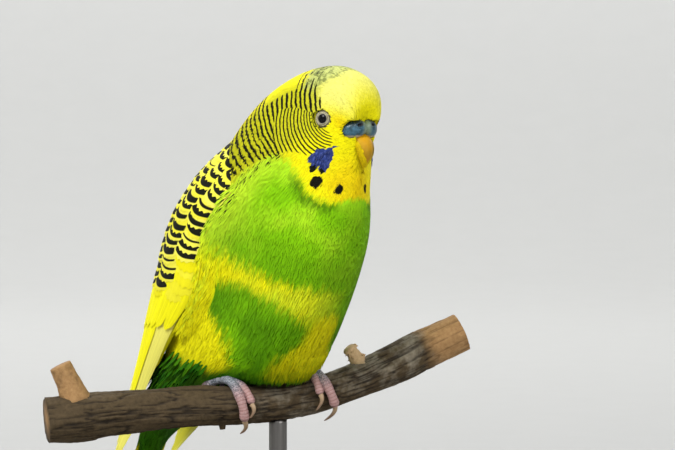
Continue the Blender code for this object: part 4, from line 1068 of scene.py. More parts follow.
def skin():
    """One skin under the plumage, from the face to the tail root, with both thighs."""
    places = np.append(np.linspace(0, 8, 110), np.linspace(8, BODY_LAST, 150)[1:])
    p, t = crossed(places, circle(160))
    sink = 0.9 * (1 - ease(eye_distance(body_surface(p, t, 0.0)), 2.9, 4.2))
    points = body_surface(p, t, -bumps(COAT_DEPTH, p) - sink)
    # Pressed back where the cere and the bill stand free of the face
    for _ in range(12):
        inside = in_bay(points) | (in_lobe(points, 0.15) > 0) | in_bill(points)
        points = points + inside[..., None] * np.array([0.0, 0.5, 0.0])
    parts = [capped_tube(points, points[0].mean(0) + np.array([0.0, 0.3, 0.0]))]
    p, t = np.append(p, [0.0, BODY_LAST]), np.append(t, [0.0, 0.0])
    for sign, _ in SIDES:
        parts.append(capped_tube(thigh_surface(sign)(*crossed(np.linspace(0.02, 0.98, 40), circle(48)), -1.2)))
        size = len(parts[-1][0])
        p, t = np.append(p, np.full(size, 17.5)), np.append(t, np.full(size, sign))
    tint, phase, bars, spot = paint_body(p, t, p, t, 0.0)
    add_mesh(
        "skin", join_parts(parts), PLUMAGE, ("head", "neck", "torso", "leg_left", "leg_right"),
        {"tint": tint, "phase": phase, "bars": bars, "spot": spot, "vane": np.full((len(p), 3), 0.5)},
        bake_home(p, t),
    )


def body_coat():
    """The small feathers of the head and body, split into pieces by region."""
    def keep(p, t, points):
        hollow = in_bay(points) | (in_lobe(points, 0.1) >= 0) | in_bill(points)
        return (eye_distance(points) > EYE_CLEAR) & ~hollow & ~under_wing(points)

    p, t = scatter(body_surface, (0.15, BODY_LAST - 0.2), (0.0, FULL_TURN), lambda p, t: bumps(SPACING, p), keep)
    n = len(p)
    jitter = rng.uniform(-1, 1, n)
    length = bumps(VANE_LENGTH, p) * rng.uniform(0.85, 1.15, n)
    width = bumps(VANE_WIDTH, p) * rng.uniform(0.85, 1.15, n)
    angle = rng.normal(0, 1, n) * bumps(VANE_SWING, p)
    high = rng.uniform(-1, 1, n) * bumps(VANE_SCATTER, p) - bumps(VANE_LOWERED, p)
    low = high - bumps(VANE_SLOPE, p)
    rows = np.stack([p, t, jitter, length, width, angle, low, high, rng.random(n)])
    begin = 0.0
    for region, end in REGIONS:
        p, t, jitter, length, width, angle, low, high, seeds = rows[:, (rows[0] > begin) & (rows[0] <= end)]
        begin = end
        form, dip = (HEAD_VANE, 0.08) if end <= HEAD_END else (BODY_VANE, 0.10)
        # Vanes that would reach into the eye, the cere or the bill are shortened, and then left out
        for _ in range(3):
            vanes = spread(
                body_surface, p, t, form, length, width, angle, low, high, camber=0.02, thick=0.03, ragged=0.2,
                dip=dip,
            )
            bad = (eye_distance(vanes[0]) < EYE_CLEAR - 0.05).any(1)
            bad |= (in_lobe(vanes[0], 0.05) > 0).any(1) | in_bill(vanes[0]).any(1)
            if not bad.any():
                break
            length = np.where(bad, length * 0.6, length)
        p, t, jitter, seeds, *vanes = (x[~bad] for x in (p, t, jitter, seeds, *vanes))
        _, _, at_p, at_t = vanes
        tint, phase, bars, spot = paint_body(np.clip(at_p, 0, 22), at_t, p[:, None], t[:, None], jitter[:, None])
        vane_mesh(
            f"coat_{region}", form, PLUMAGE, vanes, tint, bake_home(p, t), phase, bars,
            np.maximum(spot, frayed(at_p, at_t, jitter, form)), seeds,
        )


def loose_vanes(name, slot, form, material, surface, a, b, ends, tones, homes, turned=1.0, **more):
    """One coat piece whose vanes are drawn at random. ends holds the shortest and longest length, the
    narrowest and widest width, the middle and spread of the angle, the root's height, and the lowest
    and highest tip. tones holds two colours, and the middle and the spread of the share of the second."""
    n = len(a)
    length, width, angle, low, high = ends
    jitter = rng.uniform(-1, 1, n)
    vanes = spread(
        surface, a, b, form, rng.uniform(*length, n), rng.uniform(*width, n), rng.normal(*angle, n) * turned, low,
        rng.uniform(*high, n), **more,
    )
    first, second, middle, reach = tones
    tint = mix(first, second, np.clip(middle + reach * jitter, 0, 1))
    vane_mesh(name, form, material, vanes, tint, homes)


def thigh_coat(sign, side):
    """The feathers of one leg, down to the foot."""
    surface, tone = thigh_surface(sign), mix(VENT_GREEN, MID_GREEN, 0.45)
    a, b = scatter(surface, (0.25, 0.93), (0.0, FULL_TURN), lambda a, b: 1.1, lambda a, b, points: a > 0)
    loose_vanes(
        f"coat_leg_{side}", "leg_feathers", BODY_VANE, PLUMAGE, surface, a, b,
        ((4.5, 6.5), (1.1, 1.6), (0, 0.12), -0.6, (-0.1, 0.3)), (tone * 0.8, tone * 1.2, 0.5, 0.5),
        np.stack([b / FULL_TURN, a], -1) * 0.98 + 0.01, camber=0.06, thick=0.07, ragged=0.2,
    )


FRINGE_COUNT, VENT_COUNT = 1150, 900


def belly_fringe():
    """Loose feathers at the end of the belly that hang over the perch between the feet."""
    count, form = FRINGE_COUNT, BODY_VANE
    turn = rng.uniform(-0.72, 0.60, count)
    place = rng.uniform(15.1, 16.5, count)
    jitter = rng.uniform(-1, 1, count)
    root = body_surface(place, turn, -0.3)
    low = ease(place, 15.1, 16.2)[:, None]
    ahead = unit(body_base(place + 0.02, turn) - body_base(place - 0.02, turn))
    ahead = ahead * (1 - 0.45 * low) + np.array([0.0, -0.1, -0.45]) * low
    aside = np.stack([np.cos(turn), np.sin(turn) * 0.5, np.zeros(count)], -1)
    ahead = unit(ahead + aside * rng.normal(0, 0.10, count)[:, None])
    near_foot = np.maximum(hump((root[:, 0] - 12.5) / 3.4), hump((root[:, 0] + 15.5) / 3.8))
    length = np.clip((root[:, 2] + 0.6 + 1.0 * jitter) / -ahead[:, 2], 3.0, 7.5) * (1 - 0.45 * near_foot)
    width = rng.uniform(0.7, 1.2, count)
    share, reach = form.share[:, None], form.reach[:, None]
    along = share * (1 - 0.3 * rng.random((count, len(form.share), 1)) * form.tip[:, None])
    points = root[:, None] + ahead[:, None] * (along * length[:, None, None])
    points = points + aside[:, None] * (reach * width[:, None, None] / 2)
    out = body_surface(place, turn, 1.0) - body_base(place, turn)
    points = points - out[:, None] * 0.05 * form.under[:, None] + out[:, None] * 0.25 * share
    # What would reach into the branch is laid over it
    middle, direction, radius, _, _ = perch_at(points @ PERCH_AXIS)
    off = points - middle
    off -= (off * direction).sum(-1, keepdims=True) * direction
    gap = np.linalg.norm(off, axis=-1)
    points = points + off * (np.maximum(radius * 1.06 + 0.6 + 0.3 * jitter[:, None] - gap, 0) / gap)[..., None]
    normals = unit(out[:, None] + aside[:, None] * (form.side * VANE_ROUND)[:, None])
    tone = paint_body(place, turn, place, turn, jitter)[0][:, None]
    # Painted shade: the hanging fringe darkens towards its lower end and its tips, as a belly in shade.
    dark = mix(VENT_GREEN, MID_GREEN, np.clip(0.7 + 0.3 * rng.uniform(-1, 1, count), 0, 1))[:, None]
    deep = np.clip(0.05 + 0.65 * low + 0.35 * rng.uniform(-1, 1, count)[:, None], 0, 1)
    vane_mesh(
        "coat_belly_fringe", form, PLUMAGE, (points, normals),
        mix(tone, dark, deep * (0.4 + 0.6 * form.share)), bake_home(place, turn),
    )


def vent_feathers():
    """Long loose feathers between the flanks and the folded wings, over the root of the tail."""
    count = VENT_COUNT
    turn = rng.uniform(1.25, 2.5, count) * np.where(np.arange(count) % 2, 1, -1)
    place = rng.uniform(16.2, 19.2, count)
    loose_vanes(
        "coat_vent", "body_feathers", BODY_VANE, PLUMAGE, body_surface, place, turn,
        ((9.0, 14.0), (1.2, 1.9), (0, 0.10), -0.5, (0.2, 2.6)), (VENT_GREEN, MID_GREEN, 0.35, 0.3),
        bake_home(place, turn), camber=0.06, thick=0.06, ragged=0.3,
    )


# Wings and tail

# Small coverts: places of the rows' tips along the wing, middles of the columns across it, and the
# places beyond which they carry no black (across, place)
COVERT_ROWS, COVERT_FIRST, COVERT_STEP = 17, 0.030, 0.0265
COVERT_MIDDLES = (0.11, 0.38, 0.64, 0.89)
COVERT_LENGTH_SHARE, COVERT_WIDTH_SHARE, COVERT_SHOWN = 0.125, 0.36, 3.3
BLACK_LIMIT = ((0.0, 0.325), (0.12, 0.345), (0.22, 0.43), (0.5, 0.462), (1.0, 0.475))
GREATER_TIP, GREATER_COUNT, SECONDARY_COUNT = 0.610, 9, 8
PRIMARY_TIPS = (0.93, 0.965, 0.99, 1.0, 0.985, 0.96, 0.93, 0.895, 0.86)


def wing_skin(sign, side):
    """The closed body of a folded wing, under its coverts and flight feathers."""
    rings, surface, share = [], wing_surface(sign), np.linspace(0, 1, 25)
    for place in np.linspace(0.0, WING_CORE_END, 60):
        thick = smooth_table(WING_THICKNESS, place * 10)
        taper = max(place - WING_CORE_TAPER, 0.0) / (WING_CORE_END - WING_CORE_TAPER)
        across = 0.22 * taper + (1 - 0.54 * taper) * share
        under = surface(place, across, -thick * (4 * share * (1 - share)) ** 0.5)
        rings.append(np.vstack([surface(place, across, -0.7), under[1:-1][::-1]]))
    body = capped_tube(np.array(rings))
    n = len(body[0])
    v, u = (g.ravel() for g in crossed(np.linspace(0.01, 0.99, 60), np.linspace(0.01, 0.99, len(rings[0]))))
    unwrap = np.stack([u, v], -1)
    add_mesh(
        f"wing_skin_{side}", body, PLUMAGE, (f"wing_{side}",),
        {"tint": np.tile(mix(YELLOW, OLIVE, 0.3), (n, 1)), "phase": np.zeros((n, 3)), "bars": np.full(n, -2.0),
         "spot": np.full(n, -3.0), "vane": np.full((n, 3), 0.5)},
        np.vstack([unwrap, unwrap[:1], unwrap[-1:]]),
    )


def coverts(sign, side):
    """Small coverts in scalloped rows."""
    surface, rows = wing_surface(sign), []
    for row in range(COVERT_ROWS):
        tip = COVERT_FIRST + COVERT_STEP * row
        chord = np.linalg.norm(wing_chord(tip))
        for column, middle in enumerate(COVERT_MIDDLES):
            across = middle + rng.uniform(-0.02, 0.02) + 0.03 * math.sin(row * 1.3)
            head = tip + 0.013 * (column % 2) + rng.uniform(-0.003, 0.003)
            rows.append((head, across, chord * COVERT_WIDTH_SHARE, head < bumps(BLACK_LIMIT, across)))
    head, across, width, marked = np.array(rows).T
    n = len(rows)
    root = (head - COVERT_LENGTH_SHARE, across - 0.02)
    length = np.linalg.norm(surface(head, across, 0.0) - surface(*root, 0.0), axis=1)
    vanes = spread(
        surface, *root, LARGE_VANE, length, width, 0.0, -0.5, rng.uniform(0.55, 0.75, n), camber=0.28, thick=0.06,
        power=0.9,
    )
    jitter = rng.uniform(-1, 1, n)
    tint = mix(YELLOW, PALE_YELLOW, np.clip(0.42 * marked + 0.2 * jitter, 0, 1)) * (1 + 0.05 * jitter)[:, None]
    shown = COVERT_SHOWN / length
    fringe = shown * rng.uniform(0.42, 0.62, n)
    narrow = rng.random(n) < 0.22
    inner = fringe + shown * np.where(narrow, rng.uniform(0.15, 0.35, n), rng.uniform(0.55, 0.85, n))
    phase = np.stack([fringe, inner, rng.uniform(0.03, 0.14, n)], -1)[:, None]
    vane_mesh(
        f"coverts_{side}", LARGE_VANE, COVERTS, vanes, tint,
        np.stack([across, head], -1) * 0.9 + 0.05, phase, marked[:, None],
    )


def flight_feathers(sign, side):
    """Greater coverts, secondaries and primaries: place and across of each root and tip, width, height,
    and whether it is a primary."""
    surface, rows = wing_surface(sign), []
    for i in range(GREATER_COUNT):
        across = (i + 0.5) / GREATER_COUNT
        tip = GREATER_TIP - 0.05 * (1 - across) + rng.uniform(-0.006, 0.006)
        rows.append((0.37, across, tip, across + 0.01, 5.4, 0.62, 0))
    for i in range(SECONDARY_COUNT):
        share = i / (SECONDARY_COUNT - 1)
        across = 0.30 + 0.62 * share
        rows.append((0.45, across, 0.805 - 0.115 * share, across + 0.04 * (0.9 - across), 6.0, 0.55, 0))
    for i, tip in enumerate(PRIMARY_TIPS):
        rows.append((0.50, 0.07 + 0.05 * i, tip, 0.16 + 0.075 * i, 4.4, 0.08 * i, 1))
    place, across, tip, tip_across, width, height, primary = np.array(rows).T
    n = len(rows)
    length = np.linalg.norm(surface(tip, tip_across, 0.0) - surface(place, across, 0.0), axis=1)
    angle = np.arctan2((tip_across - across) * np.linalg.norm(wing_chord(tip), axis=1) * 1.1, length)
    vanes = spread(
        surface, place, across, FLIGHT_VANE, length, width, angle, height - 0.5, height, camber=0.10, thick=0.10
    )
    jitter = rng.uniform(-1, 1, n)
    tint = mix(SECONDARY_YELLOW, CREAM, primary) * (1 + 0.05 * jitter)[:, None]
    edge = ease(FLIGHT_VANE.side, 0.1, 0.9) * primary[:, None]
    vane_mesh(
        f"flight_feathers_{side}", FLIGHT_VANE, VANES, vanes,
        mix(tint[:, None], YELLOW, edge * 0.8), np.stack([tip_across * 0.9 + 0.05, tip * 0.5 + 0.45], -1),
    )


def tail_coat():
    """Twelve graduated tail feathers, the longest pair on top."""
    pair, sign = (g.ravel() for g in crossed(np.arange(len(TAIL_PAIRS)), np.array([1, -1])))
    root, tip = sign * (0.8 + 0.55 * pair), np.array(TAIL_PAIRS)[pair]
    length = (tip - 0.05) * TAIL_LENGTH
    angle = np.arctan2(sign * (1.1 + 0.62 * pair) - root, length)
    height = 0.9 - 0.42 * pair + 0.04 * sign
    vanes = spread(
        tail_surface, np.full(len(root), 0.05), root, FLIGHT_VANE, length, 5.4, angle, height, height, camber=0.2,
        thick=0.2,
    )
    outer, share = (pair > 0)[:, None], FLIGHT_VANE.share
    tint = mix(TAIL_BLUE, VENT_GREEN * 1.4, np.where(outer, 0.8, 0.25) * np.ones(len(share)))
    patch = outer * ease(share, 0.3, 0.45) * (1 - ease(share, 0.72, 0.86))
    vane_mesh(
        "tail_feathers", FLIGHT_VANE, VANES, vanes, mix(tint, YELLOW, patch * 0.85),
        np.stack([0.5 + root / 12, tip * 0.8 + 0.1], -1), replaced=("tail",),
    )


# Face

def ball(centre, radii, turn, rows, columns):
    unit_ball = on_sphere(*crossed(np.linspace(0.02, math.pi - 0.02, rows), circle(columns)))
    return centre + (unit_ball * radii) @ turn.T


def eye_material():
    m = Maker("eye_surface", 0.08, 0.14)
    ring = m.attribute("ring")
    iris = m.blend(m.noise(m.place(), 3200.0), (0.15, 0.145, 0.14, 1), (0.46, 0.43, 0.40, 1))
    iris = m.blend(m.smooth(ring, IRIS_RADIUS - 0.12, IRIS_RADIUS + 0.02), iris, (0.035, 0.032, 0.025, 1))
    return m.finish(m.blend(m.smooth(ring, PUPIL_RADIUS - 0.08, PUPIL_RADIUS + 0.06), BLACK, iris))


def lid_material():
    m = Maker("eyelid_skin", 0.6, 0.3)
    speckle = m.noise(m.place(), 1700.0, 4.0)
    tone = m.blend(m.smooth(speckle, 0.35, 0.65), (0.26, 0.22, 0.115, 1), (0.54, 0.50, 0.33, 1))
    # Painted shade: the creases of the ring darkened.
    return m.finish(m.blend(m.attribute("crease"), tone, (0.10, 0.085, 0.035, 1)), speckle, 0.4, 0.0002)


def eyes():
    """Each eyeball, and its lids: a ring out to the feathers, with creases round it and a beaded rim."""
    eye, lid = eye_material(), lid_material()
    turn, share = circle(128)[:, None], np.linspace(0, 1, 22)
    radius = LID_INNER + (LID_OUTER - LID_INNER) * share
    wobble = 0.5 + 0.5 * np.sin(2 * turn + 0.8) + 0.3 * np.sin(5 * turn)
    wave = np.cos(share * 2 * math.pi * 2.5 + 0.5 * np.sin(3 * turn))
    beads = 0.05 * np.sin(31 * turn) + 0.04 * np.sin(47 * turn + 1)
    seat = np.sqrt(np.clip(EYE_RADIUS**2 - radius**2, 0.05, None))
    top = seat + 0.16 + 0.13 * np.sin(share * math.pi) + 0.07 * wave + beads * np.sin(share * math.pi)
    top -= 0.55 * np.clip(share - 0.75, 0, None) / 0.25
    top[:, 0] = seat[0] - 0.12
    # Painted shade: darker in the troughs of the creases.
    dark = np.clip(-wave, 0, 1) ** 2 * (share > 0.15)
    for sign, side in SIDES:
        centre, axis, turned = eye_frame(sign)
        points, quads, tris = capped_tube(ball(centre, EYE_RADIUS, turned, 60, 56))
        along = (points - centre) @ axis
        off = np.linalg.norm(points - centre - along[:, None] * axis, axis=1)
        add_mesh(
            f"eyeball_{side}", (points, quads, tris), eye, (f"eye_{side}",),
            {"ring": np.where(along > 0, off, 4.0)},
        )
        reach = radius * (1 + 0.012 * wobble * share) * lid_stretch(turned, turn, share)
        outer = np.stack([np.cos(turn) * reach, np.sin(turn) * reach, top], -1)
        loop = np.concatenate([outer, outer[:, ::-1] - 0.7 * Z_AXIS], 1) @ turned.T + centre
        rows, columns = loop.shape[:2]
        quads = grid_faces(rows + 1, columns) % (rows * columns)
        add_mesh(
            f"lid_{side}", face_outward(loop.reshape(-1, 3), quads, np.zeros((0, 3), int)), lid,
            (f"eyelid_{side}",), {"crease": np.append(dark, np.zeros(dark.shape), 1).ravel()},
        )


def nostril_distance(points, sign):
    """Distance from a nostril, 1 at its rim: it is wider than it is high."""
    away = (points - NOSTRIL * mirror(sign)) / NOSTRIL_RADII
    away[..., 2] += 0.25 * away[..., 0] * sign
    return np.linalg.norm(away, axis=-1)


def bill_bristles():
    """Small face feathers that lie over the sides and the end of the bill."""
    roots = []
    for place in np.linspace(1.6, 6.8, 24):
        limit = bumps(((1.6, 0.35), (3.0, 0.60), (4.2, 0.85), (4.9, 1.2), (5.5, 1.7)), place)
        for turn in np.arange(-1.5, limit, 0.17):
            for sign, _ in SIDES:
                around = turn + rng.uniform(-0.07, 0.07)
                roots.append((place + rng.uniform(-0.12, 0.12), around if sign > 0 else math.pi - around, sign))
    place, turn, sign = np.array(roots).T
    # Their tones run from deep yellow to ochre: partly the face's own colour, partly painted shade beside the bill.
    loose_vanes(
        "coat_bill_edge", "head_feathers", HEAD_VANE, PLUMAGE, bill_surface, place, turn,
        ((1.8, 3.0), (0.5, 0.8), (0.12, 0.15), 0.02, (0.08, 0.25)), (DEEP_YELLOW, OCHRE, 0.45, 0.35),
        bake_home(np.full(len(roots), 0.6), 0.4 * sign), sign, camber=0.02, thick=0.04, ragged=0.2,
    )


def cheek_patch(sign, side):
    """Larger violet feathers over a cheek patch, with pale shafts and ragged ends."""
    roots = []
    for p in np.arange(5.0, 7.4, 0.17):
        for turn in np.arange(0.94, 1.34, 0.034):
            tip = np.array([turn + rng.uniform(-0.012, 0.012), p + rng.uniform(-0.08, 0.08)])
            root = tip + np.array([0.055, -0.42])
            if inside_patch(*tip) and inside_patch(*root):
                roots.append((root[1], sign * root[0]))
    place, turn = np.array(roots).T
    loose_vanes(
        f"cheek_patch_{side}", "head_feathers", BODY_VANE, SHAFTED, body_surface, place, turn,
        ((2.2, 3.0), (0.7, 1.1), (-0.52, 0.14), -0.2, (0.10, 0.35)), (VIOLET * 0.5, VIOLET * 1.6, 0.5, 0.5),
        bake_home(place, turn), sign, camber=0.06, thick=0.06, ragged=0.25,
    )


def cere():
    """Two lumpy lobes, each with a rimmed nostril."""
    parts = []
    for sign, _ in SIDES:
        centre, turn = lobe_frame(sign)
        rings = ball(centre, CERE_LOBE_RADII, turn, 90, 110)
        out = unit(rings - centre)
        rings = rings + out * (0.10 * noise(rings, 1.6))[..., None]
        hole = nostril_distance(rings, sign)
        rings = rings - out * (0.9 * np.exp(-(hole / 0.85) ** 4))[..., None]
        parts.append(capped_tube(rings + out * (0.14 * hump((hole - 1.35) / 0.35))[..., None]))
    body = join_parts(parts)
    points = body[0]
    m = Maker("cere_skin", 0.34, 0.45)
    height = m.attribute("height")
    mottle = m.noise(m.place(), 900.0, 4.0, 0.65)
    blue = m.layers(
        m.blend(m.smooth(mottle, 0.3, 0.7), (0.012, 0.050, 0.070, 1), (0.055, 0.150, 0.225, 1)),
        # Painted shade: darker towards the top, under the overhanging brow feathers.
        (m.smooth(height, 0.2, 2.0), (0.012, 0.030, 0.040, 1)),
        (m.smooth(m.attribute("middle"), 2.4, 0.6) * 0.8, (0.20, 0.27, 0.16, 1)),
    )
    colour = m.blend(m.smooth(height + mottle * 0.9, -1.85, -1.45), (0.46, 0.40, 0.33, 1), blue)
    # The nostril holes painted black: painted shade in their recess.
    colour = m.blend(m.smooth(m.attribute("nostril"), 0.75, 1.05), BLACK, colour)
    add_mesh("cere_lobes", body, m.finish(colour, mottle, 0.45, 0.0003), ("cere",), {
        "height": points[:, 2] - CERE_LOBE[2], "middle": np.abs(points[:, 0]),
        "nostril": np.minimum(nostril_distance(points, 1), nostril_distance(points, -1)),
    })


def bill():
    m = Maker("bill_horn", 0.45, 0.2)
    high, front = m.attribute("height"), m.attribute("front")
    grain = m.grain((900.0, 900.0, 260.0), 4.0)
    horn = m.finish(m.layers(
        m.blend(m.smooth(high, 0.35, 0.80), (0.40, 0.215, 0.003, 1), (0.62, 0.31, 0.002, 1)),
        (m.smooth(high, 0.36, 0.12), (0.46, 0.21, 0.004, 1)),
        (m.smooth(front, 0.5, 0.05) * 0.5, (0.45, 0.30, 0.006, 1)),
        (m.smooth(grain, 0.45, 0.75) * 0.15, (0.62, 0.44, 0.06, 1)),
    ), grain, 0.18, 0.0002)
    where = np.linspace(0, len(BILL_PATH) - 1, 70)
    path, wide, deep = (smooth_table(rows, where) for rows in (BILL_PATH, BILL_WIDTHS, BILL_DEPTHS))
    keel = 0.03 * np.cos(4 * (np.arange(44) * 2 * math.pi / 44)) + 0.008 * np.sin(np.arange(70)[:, None] * 1.7)
    upper = capped_tube(path_rings(path, wide, deep, 44, 1 + keel))
    x, _, z = upper[0].T
    add_mesh("upper_bill", upper, horn, ("bill_upper",), {
        "height": (z - z.min()) / (z.max() - z.min()), "front": np.clip(1 - np.abs(x) / 3.4, 0, 1),
    })
    where = np.linspace(0, len(LOWER_BILL_PATH) - 1, 40)
    path, wide = (smooth_table(rows, where) for rows in (LOWER_BILL_PATH, LOWER_BILL_WIDTHS))
    lower = capped_tube(path_rings(path, wide, wide * LOWER_BILL_FLATNESS, 36))
    flat = np.ones(len(lower[0]))
    add_mesh("lower_bill", lower, horn, ("bill_lower",), {"height": 0.25 * flat, "front": 0.6 * flat})


# Feet

def foot_material():
    """Scaly skin: grey-blue at the top, pink on the toes, with pits, painted shade in the creases and a painted
    highlight on the ridges between them.
    """
    m = Maker("foot_scales", 0.5, 0.4)
    along, crease = m.attribute("along"), m.attribute("crease")
    grain = m.noise(m.place(), 1500.0, 4.0)
    pitted = m.smooth(m.cells(2300.0), 0.42, 0.62) * m.smooth(along, 0.75, 0.35)
    return m.finish(m.layers(
        m.blend(m.smooth(along + grain * 0.25, 0.35, 0.75), (0.27, 0.325, 0.38, 1), (0.40, 0.20, 0.185, 1)),
        # Painted highlight on the ridges of the plates, and painted shade in the creases between them.
        (m.smooth(crease, 0.45, 0.0) * 0.20, (0.62, 0.50, 0.49, 1)),
        (crease * 0.38, (0.085, 0.065, 0.06, 1)),
        (pitted * 0.75, (0.035, 0.045, 0.065, 1)),
        (m.smooth(grain, 0.5, 0.8) * 0.3, (0.50, 0.48, 0.47, 1)),
    ), grain + m.smooth(m.cells(1500.0), 0.55, 0.2) * 1.2, 0.5, 0.0002)


def claw_material():
    m = Maker("claw_horn", 0.32, 0.5)
    share = m.smooth(m.attribute("along") + m.noise(m.place(), 1300.0) * 0.3, 0.2, 0.95)
    return m.finish(m.blend(share, (0.42, 0.29, 0.17, 1), (0.20, 0.125, 0.075, 1)))


def scaled_tube(path, radii, plates, lift, power, soft):
    """A tube with plates across it, and how deep each point lies in a crease between them."""
    wave = np.abs(np.sin(math.pi * plates * np.arange(len(path)) / (len(path) - 1)))
    radii = radii * (1 + lift * wave**power - 0.03)
    crease = np.append(np.repeat(1 - ease(wave, 0.0, soft), 28), [0, 0])
    return capped_tube(path_rings(path, radii, radii, 28)), crease


def foot(sign, side, skin_material, claw):
    at, toes = FEET[sign]
    hub = foot_hub(sign)
    shin = smooth_table([hub + np.array([0.0, *step]) for step in SHIN_STEPS], np.linspace(0, 1, 40) * 2)
    radii = np.linspace(TARSUS_RADIUS * 1.12, TARSUS_RADIUS, 40)
    part, crease = scaled_tube(shin, radii, SHIN_PLATES, 0.055, 0.5, 0.45)
    parts, creases, alongs = [part], [crease], [np.zeros(len(part[0]))]
    steps, s = np.linspace(0, 1, 90), np.linspace(0, 1, 30)
    for name, end, turn_end, share, claw_turn, claw_drift in toes:
        size = TOE_RADIUS * share
        reach = size + TOE_CLEAR
        where = at + (end - at) * (1 - (1 - steps) ** TOE_SPREAD_POWER)
        path = perch_spot(where, turn_end * steps, reach)
        path[0] = hub
        path = mix(hub, path, ease(steps, 0.0, 0.12))
        length = np.linalg.norm(np.diff(path, axis=0), axis=1).sum()
        radii = size * (1.0 + TOE_PAD * np.cos(4 * math.pi * steps))
        radii = radii * np.sqrt(1 - 0.86 * np.clip((steps - 0.90) / 0.10, 0, 1) ** 2)
        part, crease = scaled_tube(path, radii, max(int(length / SCUTE_LENGTH), 5), 0.06, 0.55, 0.5)
        parts.append(part)
        creases.append(crease)
        alongs.append(np.append(np.repeat(steps, 28), [0, 1]))
        skip = math.copysign(0.05 / (perch_at(end)[2] + reach), turn_end)
        bow = (CLAW_BOW * np.sin(math.pi * s) - CLAW_SWEEP * s**2) * (turn_end > 0)
        path = perch_spot(end + claw_drift * s + bow, turn_end + skip + claw_turn * s, reach + CLAW_HOOK * s)
        thick = size * (CLAW_ROOT * (1 - s) ** 0.6 + CLAW_POINT)
        add_mesh(
            f"nail_{name}_{side}", capped_tube(path_rings(path, thick * 0.85, thick, 20)), claw,
            (f"claw_{name}_{side}",), {"along": np.append(np.repeat(s, 20), [0, 1])},
        )
    fields = {"along": np.concatenate(alongs), "crease": np.concatenate(creases)}
    add_mesh(f"toes_{side}", join_parts(parts), skin_material, (f"foot_{side}",), fields)


# Perch and stand

def bark_material():
    """Bark with lichen and cracks, brown bare wood where it has peeled, and pale wood on the knob."""
    m = Maker("bark_surface", 0.85, 0.25)
    along, groove = m.attribute("along"), m.attribute("groove")
    speck, patch = m.noise(m.place(), 700.0, 5.0, 0.65), m.noise(m.place(), 90.0, 4.0, 0.6)
    pale = m.blend(speck, (0.10, 0.09, 0.065, 1), (0.42, 0.36, 0.27, 1))
    lichen = m.smooth(patch, 0.46, 0.64) * m.smooth(along, 0.40, 0.62) * 0.75
    bark = m.blend(lichen, m.blend(speck, (0.020, 0.014, 0.007, 1), (0.125, 0.085, 0.042, 1)), pale)
    # Painted shade: the bark darker in its cracks and in the dips of the stubs.
    bark = m.blend(groove * 0.85, bark, (0.010, 0.007, 0.005, 1))
    wood = m.blend(speck, (0.20, 0.10, 0.035, 1), (0.50, 0.30, 0.13, 1))
    # Painted shade: the bare wood darker in its cracks.
    wood = m.blend(groove * 0.5, wood, (0.07, 0.035, 0.015, 1))
    knob = m.blend(speck, (0.36, 0.22, 0.10, 1), (0.74, 0.53, 0.30, 1))
    wood = m.blend(m.smooth(along, 1.2, 1.6), wood, knob)
    return m.finish(m.blend(m.attribute("peel"), bark, wood), speck, 0.6, 0.0006)


